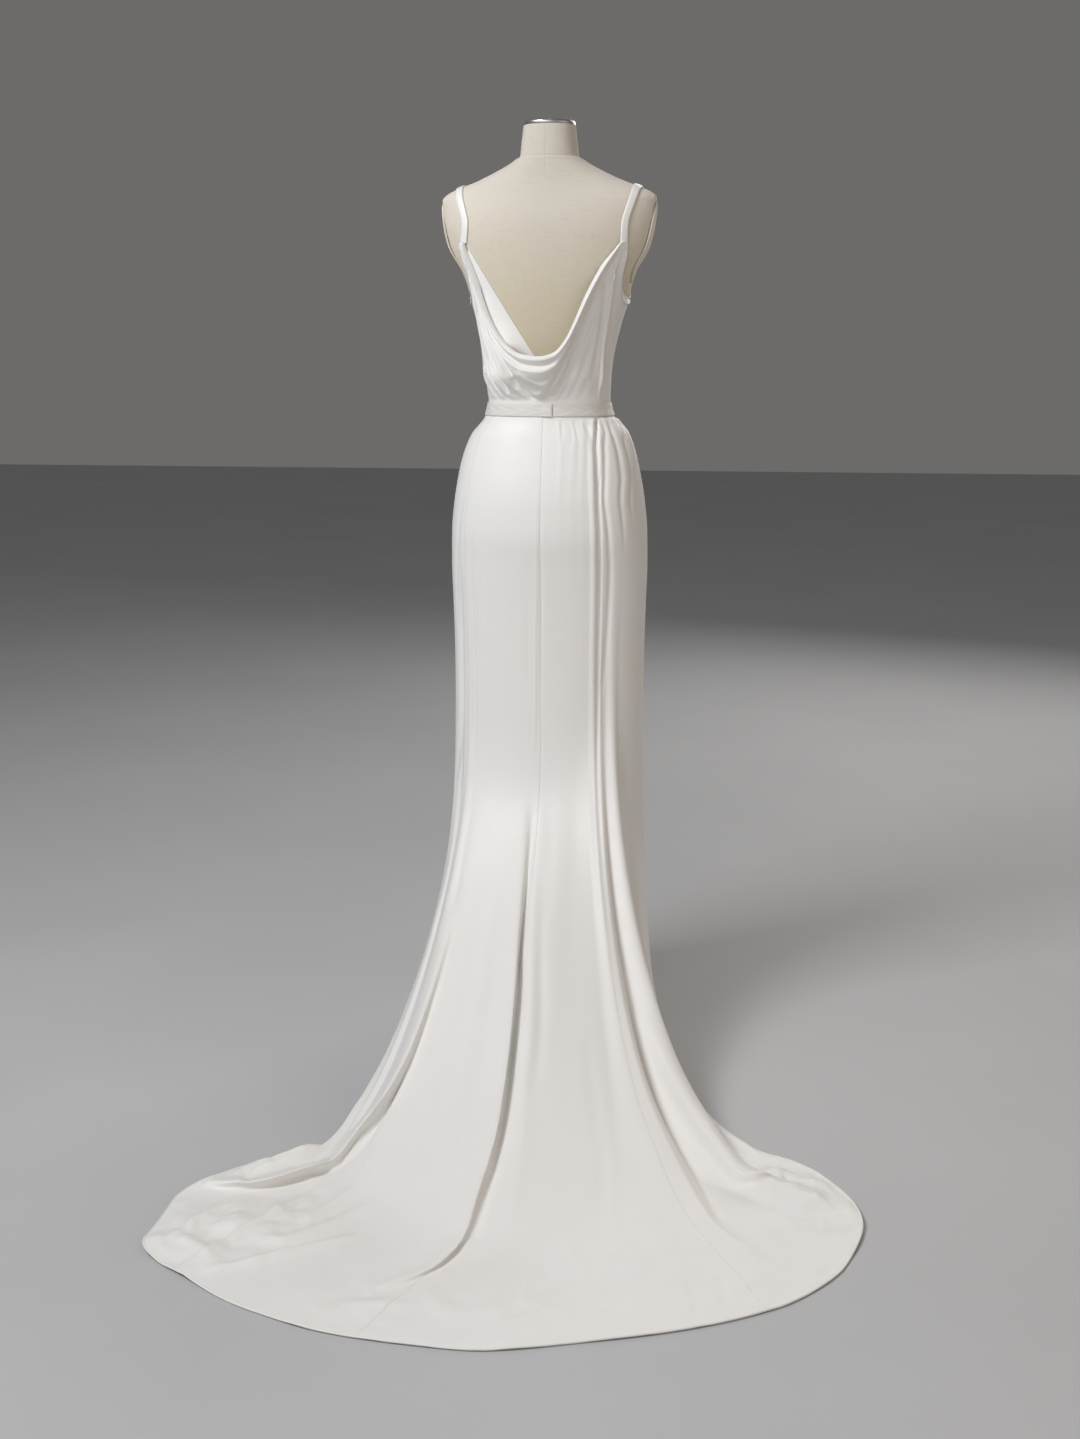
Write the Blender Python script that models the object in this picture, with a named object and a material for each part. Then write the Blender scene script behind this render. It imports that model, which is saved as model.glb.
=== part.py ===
"""A wedding dress with a low draped back and a train, on a limbless dress form.

Metres, +Z up. The front faces -Y, the train lies to +Y and the wearer's left is +X. The origin is
on the floor under the middle of the form. Angles round the figure are in degrees from the middle
of the back, positive towards the wearer's left.
"""

import math

import bmesh
import bpy
import numpy as np
from mathutils import Vector
from mathutils.bvhtree import BVHTree

# Cloth and seams
CLOTH = 0.0015
FLOOR_CLOTH = 0.0025
SEAM_GAP = 0.0003
BODICE_CLEAR = 0.0012
BUST_EASE = 0.0010
SKIRT_CLEAR = 0.0020

# Heights
WAIST_SEAM = 1.0976
BELT_TOP = 1.1090
BELT_BOTTOM = 1.0865
TORSO_END = 0.790
NECK_TOP = 1.592

# Parts of the dress that are sizes of their own
BELT_THICK = 0.0018
BELT_GAP = 0.0006
BELT_SLIT_ANGLE = -7.2
BELT_SLIT = 0.0008
BELT_REACH = 0.085
BELT_STEPS = 57
STRAP_WIDTH = 0.0145
STRAP_THICK = 0.0020
STRAP_SEAT = 0.0013
STRAP_FRONT_ANGLE = 131.5
STRAP_FRONT_END = 1.3724
STRAP_BACK_ANGLES = {"strap_left": 50.2, "strap_right": 47.8}
STRAP_BACK_END = 1.3854
FACING_THICK = 0.0010
FACING_UNDER = 0.004
FACING_CLEAR = 0.0008
FACING_TOP = np.array((0.1345, 1.3800))
FACING_END = np.array((0.0130, 1.1880))

# The stand
BASE_RADIUS = 0.130
BASE_THICK = 0.012
POLE_RADIUS = 0.0125
FORM_STEP = 11.25
CAP_THICK = 0.007
PLATE_THICK = 0.0030
PLATE_HEIGHT = 1.388
PLATE_HALF_TALL = 0.071
PLATE_HALF_DEEP = 0.033
PLATE_MIDDLE = 0.003
PLATE_GAP = 0.0006
PLATE_RINGS = ((0.05, 1), (0.50, 1), (0.96, 1), (1, 0.7), (1, 0), (0.75, 0), (0.40, 0), (0.05, 0))
FIGURE_POWER = 2.15
FLARE_REACH = np.array((0.30, 0.56))
FLARE_LOW = 0.20
FLOOR_TURN = 0.10
STEEPEST = 0.55


def table(names, rows):
    """The rows of a short table as one array for each named column."""
    return dict(zip(names, np.array(rows, float).T))


# The figure's level sections: half of the width, and how far it reaches behind and before the axis
FIGURE = table(
    ("height", "half_width", "behind", "before"),
    (
        (0.000, 0.2100, 0.1500, 0.1750),
        (0.200, 0.1825, 0.1215, 0.1465),
        (0.313, 0.1735, 0.1165, 0.1315),
        (0.384, 0.1690, 0.1135, 0.1245),
        (0.473, 0.1660, 0.1115, 0.1185),
        (0.580, 0.1655, 0.1105, 0.1145),
        (0.686, 0.1670, 0.1115, 0.1125),
        (0.750, 0.1690, 0.1135, 0.1115),
        (0.825, 0.1715, 0.1190, 0.1105),
        (0.880, 0.1710, 0.1245, 0.1105),
        (0.930, 0.1670, 0.1215, 0.1105),
        (0.970, 0.1610, 0.1145, 0.1085),
        (1.004, 0.1540, 0.1055, 0.1045),
        (1.050, 0.1370, 0.0925, 0.0975),
        (1.086, 0.1110, 0.0820, 0.0905),
        (1.109, 0.1055, 0.0790, 0.0880),
        (1.148, 0.1065, 0.0800, 0.0920),
        (1.187, 0.1105, 0.0830, 0.1000),
        (1.237, 0.1215, 0.0890, 0.1160),
        (1.293, 0.1390, 0.0940, 0.1280),
        (1.333, 0.1550, 0.0960, 0.1220),
        (1.385, 0.1810, 0.0940, 0.1000),
        (1.424, 0.1910, 0.0880, 0.0800),
        (1.460, 0.1940, 0.0740, 0.0620),
        (1.475, 0.1800, 0.0660, 0.0550),
        (1.485, 0.1580, 0.0610, 0.0500),
        (1.495, 0.1320, 0.0570, 0.0470),
        (1.505, 0.1100, 0.0540, 0.0470),
        (1.515, 0.0900, 0.0520, 0.0480),
        (1.525, 0.0720, 0.0500, 0.0500),
        (1.533, 0.0600, 0.0490, 0.0520),
        (1.539, 0.0520, 0.0480, 0.0530),
        (1.560, 0.0495, 0.0460, 0.0520),
        (1.592, 0.0455, 0.0430, 0.0490),
    ),
)

# How far from the middle the arm plates stand, at each height
ARM_PLATE = table(
    ("height", "half_width"),
    (
        (1.290, 0.1385),
        (1.333, 0.1465),
        (1.385, 0.1725),
        (1.424, 0.1815),
        (1.465, 0.1875),
        (1.500, 0.1900),
    ),
)

# The back bodice: each column's angle at the waist, and its angle and height at the top edge
BACK_EDGE = table(
    ("column", "angle", "height"),
    (
        (-90, -90.0, 1.292),
        (-82, -77.0, 1.293),
        (-75, -66.0, 1.303),
        (-68, -57.0, 1.338),
        (-63, -50.0, 1.385),
        (-58, -45.5, 1.385),
        (-52, -40.5, 1.366),
        (-44, -34.0, 1.330),
        (-34, -27.0, 1.285),
        (-26, -21.5, 1.245),
        (-18, -15.5, 1.212),
        (-9, -7.5, 1.190),
        (1, 1.5, 1.184),
        (12, 12.0, 1.187),
        (24, 22.5, 1.200),
        (34, 32.0, 1.223),
        (44, 42.0, 1.262),
        (52, 47.5, 1.310),
        (57, 48.5, 1.352),
        (60, 48.0, 1.385),
        (64, 52.5, 1.385),
        (69, 58.0, 1.338),
        (75, 66.0, 1.303),
        (82, 77.0, 1.293),
        (90, 90.0, 1.292),
    ),
)

# The front bodice's top edge
FRONT_EDGE = table(
    ("column", "height"),
    (
        (90, 1.292),
        (104, 1.298),
        (115, 1.318),
        (122, 1.345),
        (128, 1.372),
        (135, 1.372),
        (142, 1.348),
        (152, 1.322),
        (165, 1.306),
        (180, 1.302),
    ),
)

# The cowl hangs in swags from the strap ends. Level is how low a swag hangs at the middle, and
# rise is how far the cloth stands out there
COWL_FOLDS = table(
    ("level", "rise"),
    (
        (0.180, 0.0020),
        (0.1995, 0.0030),
        (0.2065, 0.0095),
        (0.2160, 0.0055),
        (0.2330, 0.0090),
        (0.2500, 0.0040),
        (0.2680, 0.0070),
        (0.2850, 0.0025),
        (0.3030, 0.0050),
        (0.3220, 0.0012),
        (0.3450, 0.0045),
        (0.3750, 0.0010),
        (0.4100, 0.0038),
        (0.4600, 0.0006),
        (0.5300, 0.0030),
        (0.6200, 0.0004),
        (0.7500, 0.0015),
        (0.9500, 0.0000),
    ),
)
COWL_LEVEL = 0.2065
COWL_MIDDLE = 0.009
COWL_TOP = 1.392
COWL_LEFT = 0.138
COWL_RIGHT = -0.132
COWL_LEFT_BEND = 2.2
COWL_RIGHT_BEND = 1.1
COWL_BULGE = 0.020
FACING_ROOM = 0.0026

# The skirt below the knee: the height where each column leaves the figure, the share of that
# height that it still falls straight, and where it meets the floor and ends
TRAIN = table(
    ("column", "leave", "hold", "floor_x", "floor_y", "hem_x", "hem_y"),
    (
        (-180, 0.250, 0.35, 0.000, -0.165, 0.000, -0.180),
        (-155, 0.250, 0.35, -0.090, -0.145, -0.095, -0.158),
        (-128, 0.260, 0.40, -0.185, -0.020, -0.193, -0.020),
        (-112, 0.300, 0.50, -0.215, 0.120, -0.230, 0.150),
        (-100, 0.340, 0.52, -0.240, 0.250, -0.262, 0.285),
        (-85, 0.380, 0.50, -0.275, 0.380, -0.310, 0.420),
        (-70, 0.420, 0.46, -0.315, 0.480, -0.375, 0.522),
        (-56, 0.480, 0.42, -0.345, 0.560, -0.480, 0.598),
        (-44, 0.540, 0.38, -0.365, 0.640, -0.535, 0.745),
        (-38, 0.540, 0.36, -0.335, 0.700, -0.508, 0.855),
        (-33, 0.520, 0.35, -0.295, 0.745, -0.425, 0.965),
        (-19, 0.460, 0.25, -0.160, 0.820, -0.190, 1.078),
        (-9, 0.445, 0.20, -0.075, 0.850, -0.040, 1.116),
        (0, 0.440, 0.20, 0.000, 0.860, 0.090, 1.108),
        (26, 0.460, 0.25, 0.110, 0.800, 0.225, 1.070),
        (50, 0.486, 0.32, 0.212, 0.705, 0.345, 1.000),
        (60, 0.470, 0.36, 0.231, 0.678, 0.428, 0.920),
        (70, 0.450, 0.42, 0.239, 0.662, 0.428, 0.800),
        (80, 0.420, 0.50, 0.241, 0.635, 0.375, 0.712),
        (90, 0.380, 0.54, 0.236, 0.590, 0.262, 0.606),
        (100, 0.340, 0.54, 0.224, 0.450, 0.240, 0.470),
        (112, 0.300, 0.50, 0.213, 0.240, 0.228, 0.262),
        (128, 0.260, 0.40, 0.182, 0.020, 0.192, 0.030),
        (155, 0.250, 0.35, 0.090, -0.145, 0.095, -0.158),
        (180, 0.250, 0.35, 0.000, -0.165, 0.000, -0.180),
    ),
)

# The gathers pull the columns together at the right of the waist
WAIST_COLUMNS = table(
    ("column", "angle"),
    (
        (-180, -180),
        (-130, -136),
        (-100, -112),
        (-70, -98),
        (-61, -91),
        (-55, -84),
        (-50, -77),
        (-45, -68),
        (-40.5, -59),
        (-36, -50),
        (-32, -44.5),
        (-23, -31.5),
        (-16.5, -22),
        (-10, -12),
        (0, 0),
        (180, 180),
    ),
)

# Folds run down the skirt. Each has its column, its half width in degrees, and how far it stands
# out (or in, below nought) in millimetres at the waist, hip, knee, flare, floor and hem
FOLD_PLACES = ("waist", "hip", "knee", "flare", "floor", "hem")
FOLD_AT = (0.034, 0.30, 1.00, 1.50, 2.00, 3.00)
FOLDS = (
    ("column", "half_width") + FOLD_PLACES,
    (
        (-48.0, 45.0, 5.8, 6.2, 2.0, 0.0, 0.0, 0.0),
        (-10.0, 2.2, 1.6, 0.2, 0.0, 0.0, 0.0, 0.0),
        (-16.5, 2.4, 1.8, 0.2, 0.0, 0.0, 0.0, 0.0),
        (-23.0, 2.6, 2.0, 0.3, 0.0, 0.0, 0.0, 0.0),
        (-32.0, 2.6, 1.5, 1.8, 1.0, 0.0, 0.0, 0.0),
        (-36.0, 2.4, -5.4, -5.2, -4.0, -3.0, 0.0, 0.0),
        (-40.5, 2.2, -3.6, -2.2, -0.6, 0.0, 0.0, 0.0),
        (-45.0, 2.2, -3.6, -2.0, -0.4, 0.0, 0.0, 0.0),
        (-50.0, 2.2, -3.4, -1.6, -0.3, 0.0, 0.0, 0.0),
        (-55.0, 2.4, -3.2, -1.5, -0.2, 0.0, 0.0, 0.0),
        (-61.0, 2.8, -3.0, -1.2, 0.0, 0.0, 0.0, 0.0),
        (-32.5, 5.0, 0.0, 0.0, 2.0, 8.0, 8.0, 0.0),
        (-38.5, 4.8, 0.0, 0.0, -3.0, -15.0, -14.0, 0.0),
        (-44.5, 5.5, 0.0, 0.0, 3.0, 10.0, 15.0, 3.0),
        (-58.0, 7.0, 0.0, 0.0, 0.0, -10.0, -6.0, 0.0),
        (-7.0, 5.0, 0.0, 0.0, 1.0, 6.0, 6.0, 0.0),
        (0.0, 3.8, 0.0, 0.0, -2.0, -20.0, -14.0, 0.0),
        (6.0, 4.5, 0.0, 0.0, 1.5, 9.0, 14.0, 3.0),
        (48.0, 6.0, 0.0, 0.0, 3.0, 8.0, 12.0, 4.0),
        (61.0, 6.5, 0.0, 0.0, -3.0, -20.0, -16.0, 0.0),
        (75.0, 8.0, 0.0, 0.0, 1.0, 5.0, 13.0, 5.0),
        (92.0, 7.0, 0.0, 0.0, 0.0, -8.0, -6.0, 0.0),
    ),
)

# The skirt's rows: 0 to 1 down the figure, 1 to 2 in the flare, 2 to 3 along the floor
SKIRT_ROWS = (
    0.0000, 0.0205, 0.0340, 0.055, 0.085, 0.125, 0.175, 0.240, 0.340, 0.480, 0.660, 0.840,
    1.000, 1.140, 1.280, 1.420, 1.560, 1.680, 1.790, 1.890, 1.960,
    2.030, 2.160, 2.380, 2.680, 3.000,
)  # fmt: skip

# The skirt's gores, each with the columns of its mesh
GORES = {
    "skirt_back_left": (0, 3, 6, 9, 13, 18, 24, 30, 36, 42, 45, 48, 52),
    "skirt_side_left": (52, 55, 58, 61, 64, 67.5, 71, 75, 79, 83, 87.5, 92, 97, 102),
    "skirt_front": (102, 112, 124, 138, 152, 166, 180, 194, 208, 222, 236, 248, 258),
    "skirt_side_right": (
        -102, -94, -86, -79, -73, -68, -64.5, -61, -58, -55, -52.5, -50, -47.5, -45, -42.7, -40.5,
        -38.2, -36, -34, -32,
    ),
    "skirt_back_right": (
        -32, -29, -26, -23, -20, -16.5, -13, -10, -7, -3.5, 0,
    ),
}  # fmt: skip

TORSO_ROWS = (
    TORSO_END, 0.830, 0.870, 0.910, 0.945, 0.975, 1.005, 1.030, 1.050, 1.065, 1.077, 1.087, 1.096, 1.106,
    1.120, 1.140, 1.165, 1.195, 1.225, 1.255, 1.285, 1.312, 1.340, 1.365, 1.388, 1.410, 1.435, 1.458,
    1.468, 1.477, 1.486, 1.495, 1.505, 1.515, 1.525, 1.533, 1.539, 1.560, NECK_TOP,
)  # fmt: skip
BODICE_ROWS = (0, 0.045, 0.10, 0.17, 0.25, 0.34, 0.43, 0.52, 0.61, 0.70, 0.79, 0.87, 0.93, 0.97, 1.0)
BACK_COLUMNS = (
    -90, -82, -75, -71, -68, -65, -63, -60.5, -58, -55, -52, -48, -44, -39, -34, -30, -26, -22, -18,
    -13.5, -9, -4, 1, 6, 12, 18, 24, 29, 34, 39, 44, 48, 52, 55, 57, 60, 62, 64, 66, 69, 72, 75, 82, 90,
)  # fmt: skip
FRONT_COLUMNS = (90, 98, 106, 113, 118, 122, 125, 128, 131.5, 135, 138, 142, 148, 155, 163, 171, 180)
FRONT_ROWS = (0, 0.06, 0.14, 0.25, 0.37, 0.50, 0.63, 0.76, 0.88, 1.0)


def smooth(knots, values, at):
    """A curve through the knots that never overshoots them."""
    at = np.asarray(at, float)
    step = np.diff(knots)
    slope = np.diff(values) / step
    tangent = np.zeros(len(knots))
    tangent[0] = slope[0]
    tangent[-1] = slope[-1]
    rising = slope[:-1] * slope[1:] > 0
    first = 2 * step[1:] + step[:-1]
    second = step[1:] + 2 * step[:-1]
    safe = np.where(rising, slope[:-1] * slope[1:], 1.0)
    weights = np.where(rising, first * slope[1:] + second * slope[:-1], 1.0)
    tangent[1:-1] = np.where(rising, (first + second) * safe / weights, 0.0)
    place = np.clip(np.searchsorted(knots, at) - 1, 0, len(step) - 1)
    share = np.clip((at - knots[place]) / step[place], 0, 1)
    square = share * share
    cube = square * share
    return (
        (2 * cube - 3 * square + 1) * values[place]
        + (cube - 2 * square + share) * step[place] * tangent[place]
        + (3 * square - 2 * cube) * values[place + 1]
        + (cube - square) * step[place] * tangent[place + 1]
    )


def ease(low, high, at):
    """From 0 at low to 1 at high, with soft ends."""
    share = np.clip((np.asarray(at, float) - low) / (high - low), 0, 1)
    return share * share * (3 - 2 * share)


def figure_point(angle, height, out=0.0):
    """The point of the figure's skin at this angle and height, moved out level by this much."""
    turn = np.radians(angle)
    across = np.sin(turn)
    along = np.cos(turn)
    half = smooth(FIGURE["height"], FIGURE["half_width"], height) + out
    behind = smooth(FIGURE["height"], FIGURE["behind"], height) + out
    before = smooth(FIGURE["height"], FIGURE["before"], height) + out
    deep = np.where(along > 0, behind, before)
    power = 2 / FIGURE_POWER
    x = half * np.sign(across) * np.abs(across) ** power
    y = deep * np.sign(along) * np.abs(along) ** power
    return np.stack(np.broadcast_arrays(x, y, height), axis=-1)


def surface_normals(surface, across, along, outward=1.0):
    """Unit normals of a surface of two parameters, by small steps to each side."""
    step = 4e-3
    over = surface(across + step, along) - surface(across - step, along)
    down = surface(across, along + step) - surface(across, along - step)
    normal = outward * np.cross(over, down)
    return normal / np.maximum(np.linalg.norm(normal, axis=-1, keepdims=True), 1e-12)


def skirt_base(column, row):
    """The skirt without its folds: down the figure, out in the flare and along the floor."""
    wrapped = (column + 180) % 360 - 180
    knots = TRAIN["column"]
    leave = smooth(knots, TRAIN["leave"], wrapped)
    touch = np.stack([smooth(knots, TRAIN[name], wrapped) for name in ("floor_x", "floor_y")], -1)
    hem = np.stack([smooth(knots, TRAIN[name], wrapped) for name in ("hem_x", "hem_y")], -1)
    down = np.clip(row, 0, 1)
    top = WAIST_SEAM - SEAM_GAP / 2
    height = top + (leave - top) * down
    gather = ease(0.93, 1.07, height)
    waist_angle = smooth(WAIST_COLUMNS["column"], WAIST_COLUMNS["angle"], wrapped)
    angle = wrapped + (waist_angle - wrapped) * gather
    clear = CLOTH + SKIRT_CLEAR - (SKIRT_CLEAR - BODICE_CLEAR) * ease(1.05, 1.086, height)
    on_figure = figure_point(angle, height, clear)
    start = figure_point(wrapped, leave, CLOTH + SKIRT_CLEAR)
    share = np.clip(row - 1, 0, 1)[..., None]
    reach = touch - start[..., :2]
    fall = start[..., 2:] - FLOOR_CLOTH
    hold = smooth(knots, TRAIN["hold"], wrapped)[..., None]
    far = start[..., :2] + FLARE_REACH * reach
    second = np.concatenate([start[..., :2], FLOOR_CLOTH + (1 - hold) * fall], -1)
    third = np.concatenate([far, FLOOR_CLOTH + FLARE_LOW * (1 - hold) * fall], -1)
    last = np.concatenate([touch, np.full_like(fall, FLOOR_CLOTH)], -1)
    flare = (
        (1 - share) ** 3 * start
        + 3 * (1 - share) ** 2 * share * second
        + 3 * (1 - share) * share**2 * third
        + share**3 * last
    )
    place = row[..., None]
    laid = touch + (hem - touch) * (place - 2)
    on_floor = np.concatenate([laid, np.full_like(fall, FLOOR_CLOTH)], -1)
    return np.where(place <= 1, on_figure, np.where(place <= 2, flare, on_floor))


def skirt_rise(column, row):
    """How far the folds move the skirt out."""
    wrapped = (column + 180) % 360 - 180
    rise = np.zeros(np.broadcast(column, row).shape)
    names, rows = FOLDS
    at = np.array((0.0, 0.0205) + FOLD_AT)
    for values in rows:
        fold = dict(zip(names, values))
        depths = np.array([0.0, 0.0] + [fold[name] for name in FOLD_PLACES])
        depth = smooth(at, depths, row) / 1000
        apart = np.clip(np.abs(wrapped - fold["column"]) / fold["half_width"], 0, 1)
        rise = rise + depth * (0.5 + 0.5 * np.cos(math.pi * apart))
    return rise


def skirt_away(column, row):
    """The way in which a fold moves the skirt. It turns gradually where the skirt meets the floor."""
    row = np.maximum(row, 0)
    reach = FLOOR_TURN * ease(1.5, 1.85, row)
    away = surface_normals(skirt_base, column, row)
    for side in (-reach, reach):
        away = away + surface_normals(skirt_base, column, row + side)
    return away / np.linalg.norm(away, axis=-1, keepdims=True)


def skirt_outer(column, row):
    """The skirt's outer face, with its folds."""
    column, row = np.broadcast_arrays(np.asarray(column, float), np.asarray(row, float))
    point = skirt_base(column, row) + skirt_away(column, row) * skirt_rise(column, row)[..., None]
    point[..., 2] = np.maximum(point[..., 2], FLOOR_CLOTH)
    return point


def skirt_wall(column, row):
    """The skirt's outer and inner faces. The wall is as thick on a fold's slope as beside it."""
    outer = skirt_outer(column, row)
    away = skirt_away(column, row)
    slope = np.sum(away * surface_normals(skirt_outer, column, row), -1)
    thick = CLOTH + (FLOOR_CLOTH - CLOTH) * ease(1.3, 1.9, row)
    thick = thick / np.clip(slope, STEEPEST, 1)
    inner = outer - away * thick[..., None]
    inner[..., 2] = np.maximum(inner[..., 2], 0)
    return outer, inner


def seam_shift(surface, column, row, outer, inner):
    """Both faces of a panel with their side edges moved half a seam gap in from the seam."""
    moved_outer = outer.copy()
    moved_inner = inner.copy()
    step = 1e-3
    for edge, inward in ((0, 1.0), (-1, -1.0)):
        place, down = column[:, edge], row[:, edge]
        over = surface(place + step, down) - surface(place - step, down)
        thick = outer[:, edge] - inner[:, edge]
        side = over - thick * (np.sum(over * thick, -1) / np.sum(thick * thick, -1))[:, None]
        along = np.gradient(outer[:, edge], axis=0)
        side -= along * (np.sum(side * along, -1) / np.sum(along * along, -1))[:, None]
        side *= inward / np.linalg.norm(side, axis=-1, keepdims=True)
        moved_outer[:, edge] += side * SEAM_GAP / 2
        moved_inner[:, edge] += side * SEAM_GAP / 2
    return moved_outer, moved_inner


def cowl_level(x, z):
    """How low the swag through this point would hang at the middle."""
    left = x > COWL_MIDDLE
    end = np.where(left, COWL_LEFT, COWL_RIGHT)
    bend = np.where(left, COWL_LEFT_BEND, COWL_RIGHT_BEND)
    share = np.clip(np.abs((x - COWL_MIDDLE) / (end - COWL_MIDDLE)), 0, 0.999)
    soft = np.sqrt(share**2 + 0.02) - math.sqrt(0.02)
    soft = soft / (math.sqrt(1.02) - math.sqrt(0.02))
    share = np.where(left, share, soft)
    return (COWL_TOP - z) / np.maximum(1 - share**bend, 1e-3), share


def back_outer(column, row, depth=0.0):
    """The back bodice's face: fitted at the waist, draped in swags above it. Depth is how far in."""
    column, row = np.broadcast_arrays(np.asarray(column, float), np.asarray(row, float))
    top_angle = smooth(BACK_EDGE["column"], BACK_EDGE["angle"], column)
    top = smooth(BACK_EDGE["column"], BACK_EDGE["height"], column)
    bottom = WAIST_SEAM + SEAM_GAP / 2
    angle = column + (top_angle - column) * np.clip(row, 0, 1) ** 1.2
    height = bottom + (top - bottom) * row
    skin = figure_point(angle, height)
    edge = figure_point(top_angle, top)
    level, share = cowl_level(skin[..., 0], height)
    edge_level, _ = cowl_level(edge[..., 0], top)
    between = (column > -60) & (column < 61)
    near = np.exp(-np.maximum(level - edge_level, 0) / 0.05)
    level = np.where(between, level * (1 + (COWL_LEVEL / edge_level - 1) * near), level)
    rise = smooth(COWL_FOLDS["level"], COWL_FOLDS["rise"], level)
    rise = rise * (0.35 + 0.65 * (1 - share**3))
    bulge = COWL_BULGE * (1 - share**2) ** 1.5 * ease(1.1145, 1.172, height)
    lift = (rise * ease(1.1125, 1.124, height) + bulge) * ease(90, 70, np.abs(column))
    over_facing = FACING_ROOM * ease(-10, 2, column) * ease(72, 65, column) * ease(1.1125, 1.135, height)
    out = CLOTH + BODICE_CLEAR + lift + over_facing
    return figure_point(angle, height, out - depth)


def front_outer(column, row, depth=0.0):
    """The front bodice's face. Depth is how far in."""
    column, row = np.broadcast_arrays(np.asarray(column, float), np.asarray(row, float))
    mirrored = 180 - np.abs(180 - column)
    top = smooth(FRONT_EDGE["column"], FRONT_EDGE["height"], mirrored)
    bottom = WAIST_SEAM + SEAM_GAP / 2
    height = bottom + (top - bottom) * row
    bust = BUST_EASE * ease(1.13, 1.20, height) * ease(92, 112, mirrored)
    return figure_point(column, height, CLOTH + BODICE_CLEAR + bust - depth)


def new_object(name, points, faces, material):
    """A closed mesh object with its faces turned out."""
    mesh = bpy.data.meshes.new(name)
    mesh.from_pydata([tuple(map(float, point)) for point in points], [], faces)
    work = bmesh.new()
    work.from_mesh(mesh)
    bmesh.ops.recalc_face_normals(work, faces=work.faces)
    work.to_mesh(mesh)
    work.free()
    mesh.shade_smooth()
    mesh.set_sharp_from_angle(angle=math.radians(50))
    mesh.materials.append(material)
    made = bpy.data.objects.new(name, mesh)
    bpy.context.collection.objects.link(made)
    return made


def wall(name, outer, inner, material):
    """A sheet of cloth from the grids of its two faces."""
    rows, columns = outer.shape[:2]
    count = rows * columns
    points = np.concatenate([outer.reshape(-1, 3), inner.reshape(-1, 3)])
    faces = []
    for row in range(rows - 1):
        for column in range(columns - 1):
            a = row * columns + column
            b, c, d = a + 1, a + columns + 1, a + columns
            if np.linalg.norm(points[a] - points[c]) < np.linalg.norm(points[b] - points[d]):
                halves = ((a, b, c), (a, c, d))
            else:
                halves = ((a, b, d), (b, c, d))
            for half in halves:
                faces.append(half)
                faces.append(tuple(count + corner for corner in reversed(half)))
    rim = [column for column in range(columns)]
    rim += [row * columns + columns - 1 for row in range(1, rows)]
    rim += [(rows - 1) * columns + column for column in range(columns - 2, -1, -1)]
    rim += [row * columns for row in range(rows - 2, 0, -1)]
    for start, end in zip(rim, rim[1:] + rim[:1]):
        low, high = min(start, end), max(start, end)
        faces.append((low, high, count + high))
        faces.append((low, count + high, count + low))
    return new_object(name, points, faces, material)


def stack(name, rings, material):
    """A solid from closed rings of points, one above the other, with flat ends."""
    levels, around = rings.shape[:2]
    faces = []
    for level in range(levels - 1):
        for step in range(around):
            a = level * around + step
            b = level * around + (step + 1) % around
            faces.append((a, b, b + around, a + around))
    faces.append(tuple(reversed(range(around))))
    faces.append(tuple((levels - 1) * around + step for step in range(around)))
    return new_object(name, rings.reshape(-1, 3), faces, material)


def finish(name, colour, roughness, metallic=0.0):
    """A plain Principled material."""
    made = bpy.data.materials.new(name)
    made.use_nodes = True
    shader = made.node_tree.nodes["Principled BSDF"]
    shader.inputs["Base Color"].default_value = (*colour, 1)
    shader.inputs["Roughness"].default_value = roughness
    shader.inputs["Metallic"].default_value = metallic
    return made


def grid(columns, rows):
    """The two parameters of a grid, rows down and columns across."""
    return np.meshgrid(np.array(columns, float), np.array(rows, float))


def build_skirt(material):
    for name, columns in GORES.items():
        column, row = grid(columns, SKIRT_ROWS)
        outer, inner = skirt_wall(column, row)
        wall(name, *seam_shift(skirt_base, column, row, outer, inner), material)


def build_bodice(material):
    column, row = grid(BACK_COLUMNS, BODICE_ROWS)
    outer = back_outer(column, row)
    inner = back_outer(column, row, CLOTH)
    wall("bodice_back", *seam_shift(back_outer, column, row, outer, inner), material)
    columns = list(FRONT_COLUMNS) + [360 - value for value in reversed(FRONT_COLUMNS[:-1])]
    column, row = grid(columns, FRONT_ROWS)
    outer = front_outer(column, row)
    inner = front_outer(column, row, CLOTH)
    wall("bodice_front", *seam_shift(front_outer, column, row, outer, inner), material)


def build_facing(material):
    """The turned-in edge at the wearer's left of the back opening, flat on the form."""
    along, across = grid(np.linspace(0.04, 1.0, 12), np.linspace(0, 1, 4))
    straight = FACING_TOP + (FACING_END - FACING_TOP) * along[..., None]
    height = straight[..., 1]
    edge_height = smooth(BACK_EDGE["column"], BACK_EDGE["height"], np.linspace(1, 60, 60))
    edge_angle = smooth(BACK_EDGE["column"], BACK_EDGE["angle"], np.linspace(1, 60, 60))
    cowl_x = figure_point(edge_angle, edge_height)[:, 0]
    under = np.interp(height, edge_height, cowl_x) + FACING_UNDER
    x = straight[..., 0] + (under - straight[..., 0]) * across
    half = smooth(FIGURE["height"], FIGURE["half_width"], height)
    angle = np.degrees(np.arcsin(np.clip(x / half, -0.99, 0.99) ** (FIGURE_POWER / 2)))
    inner = figure_point(angle, height, FACING_CLEAR)
    outer = figure_point(angle, height, FACING_CLEAR + FACING_THICK)
    wall("cowl_facing", outer, inner, material)


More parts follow.
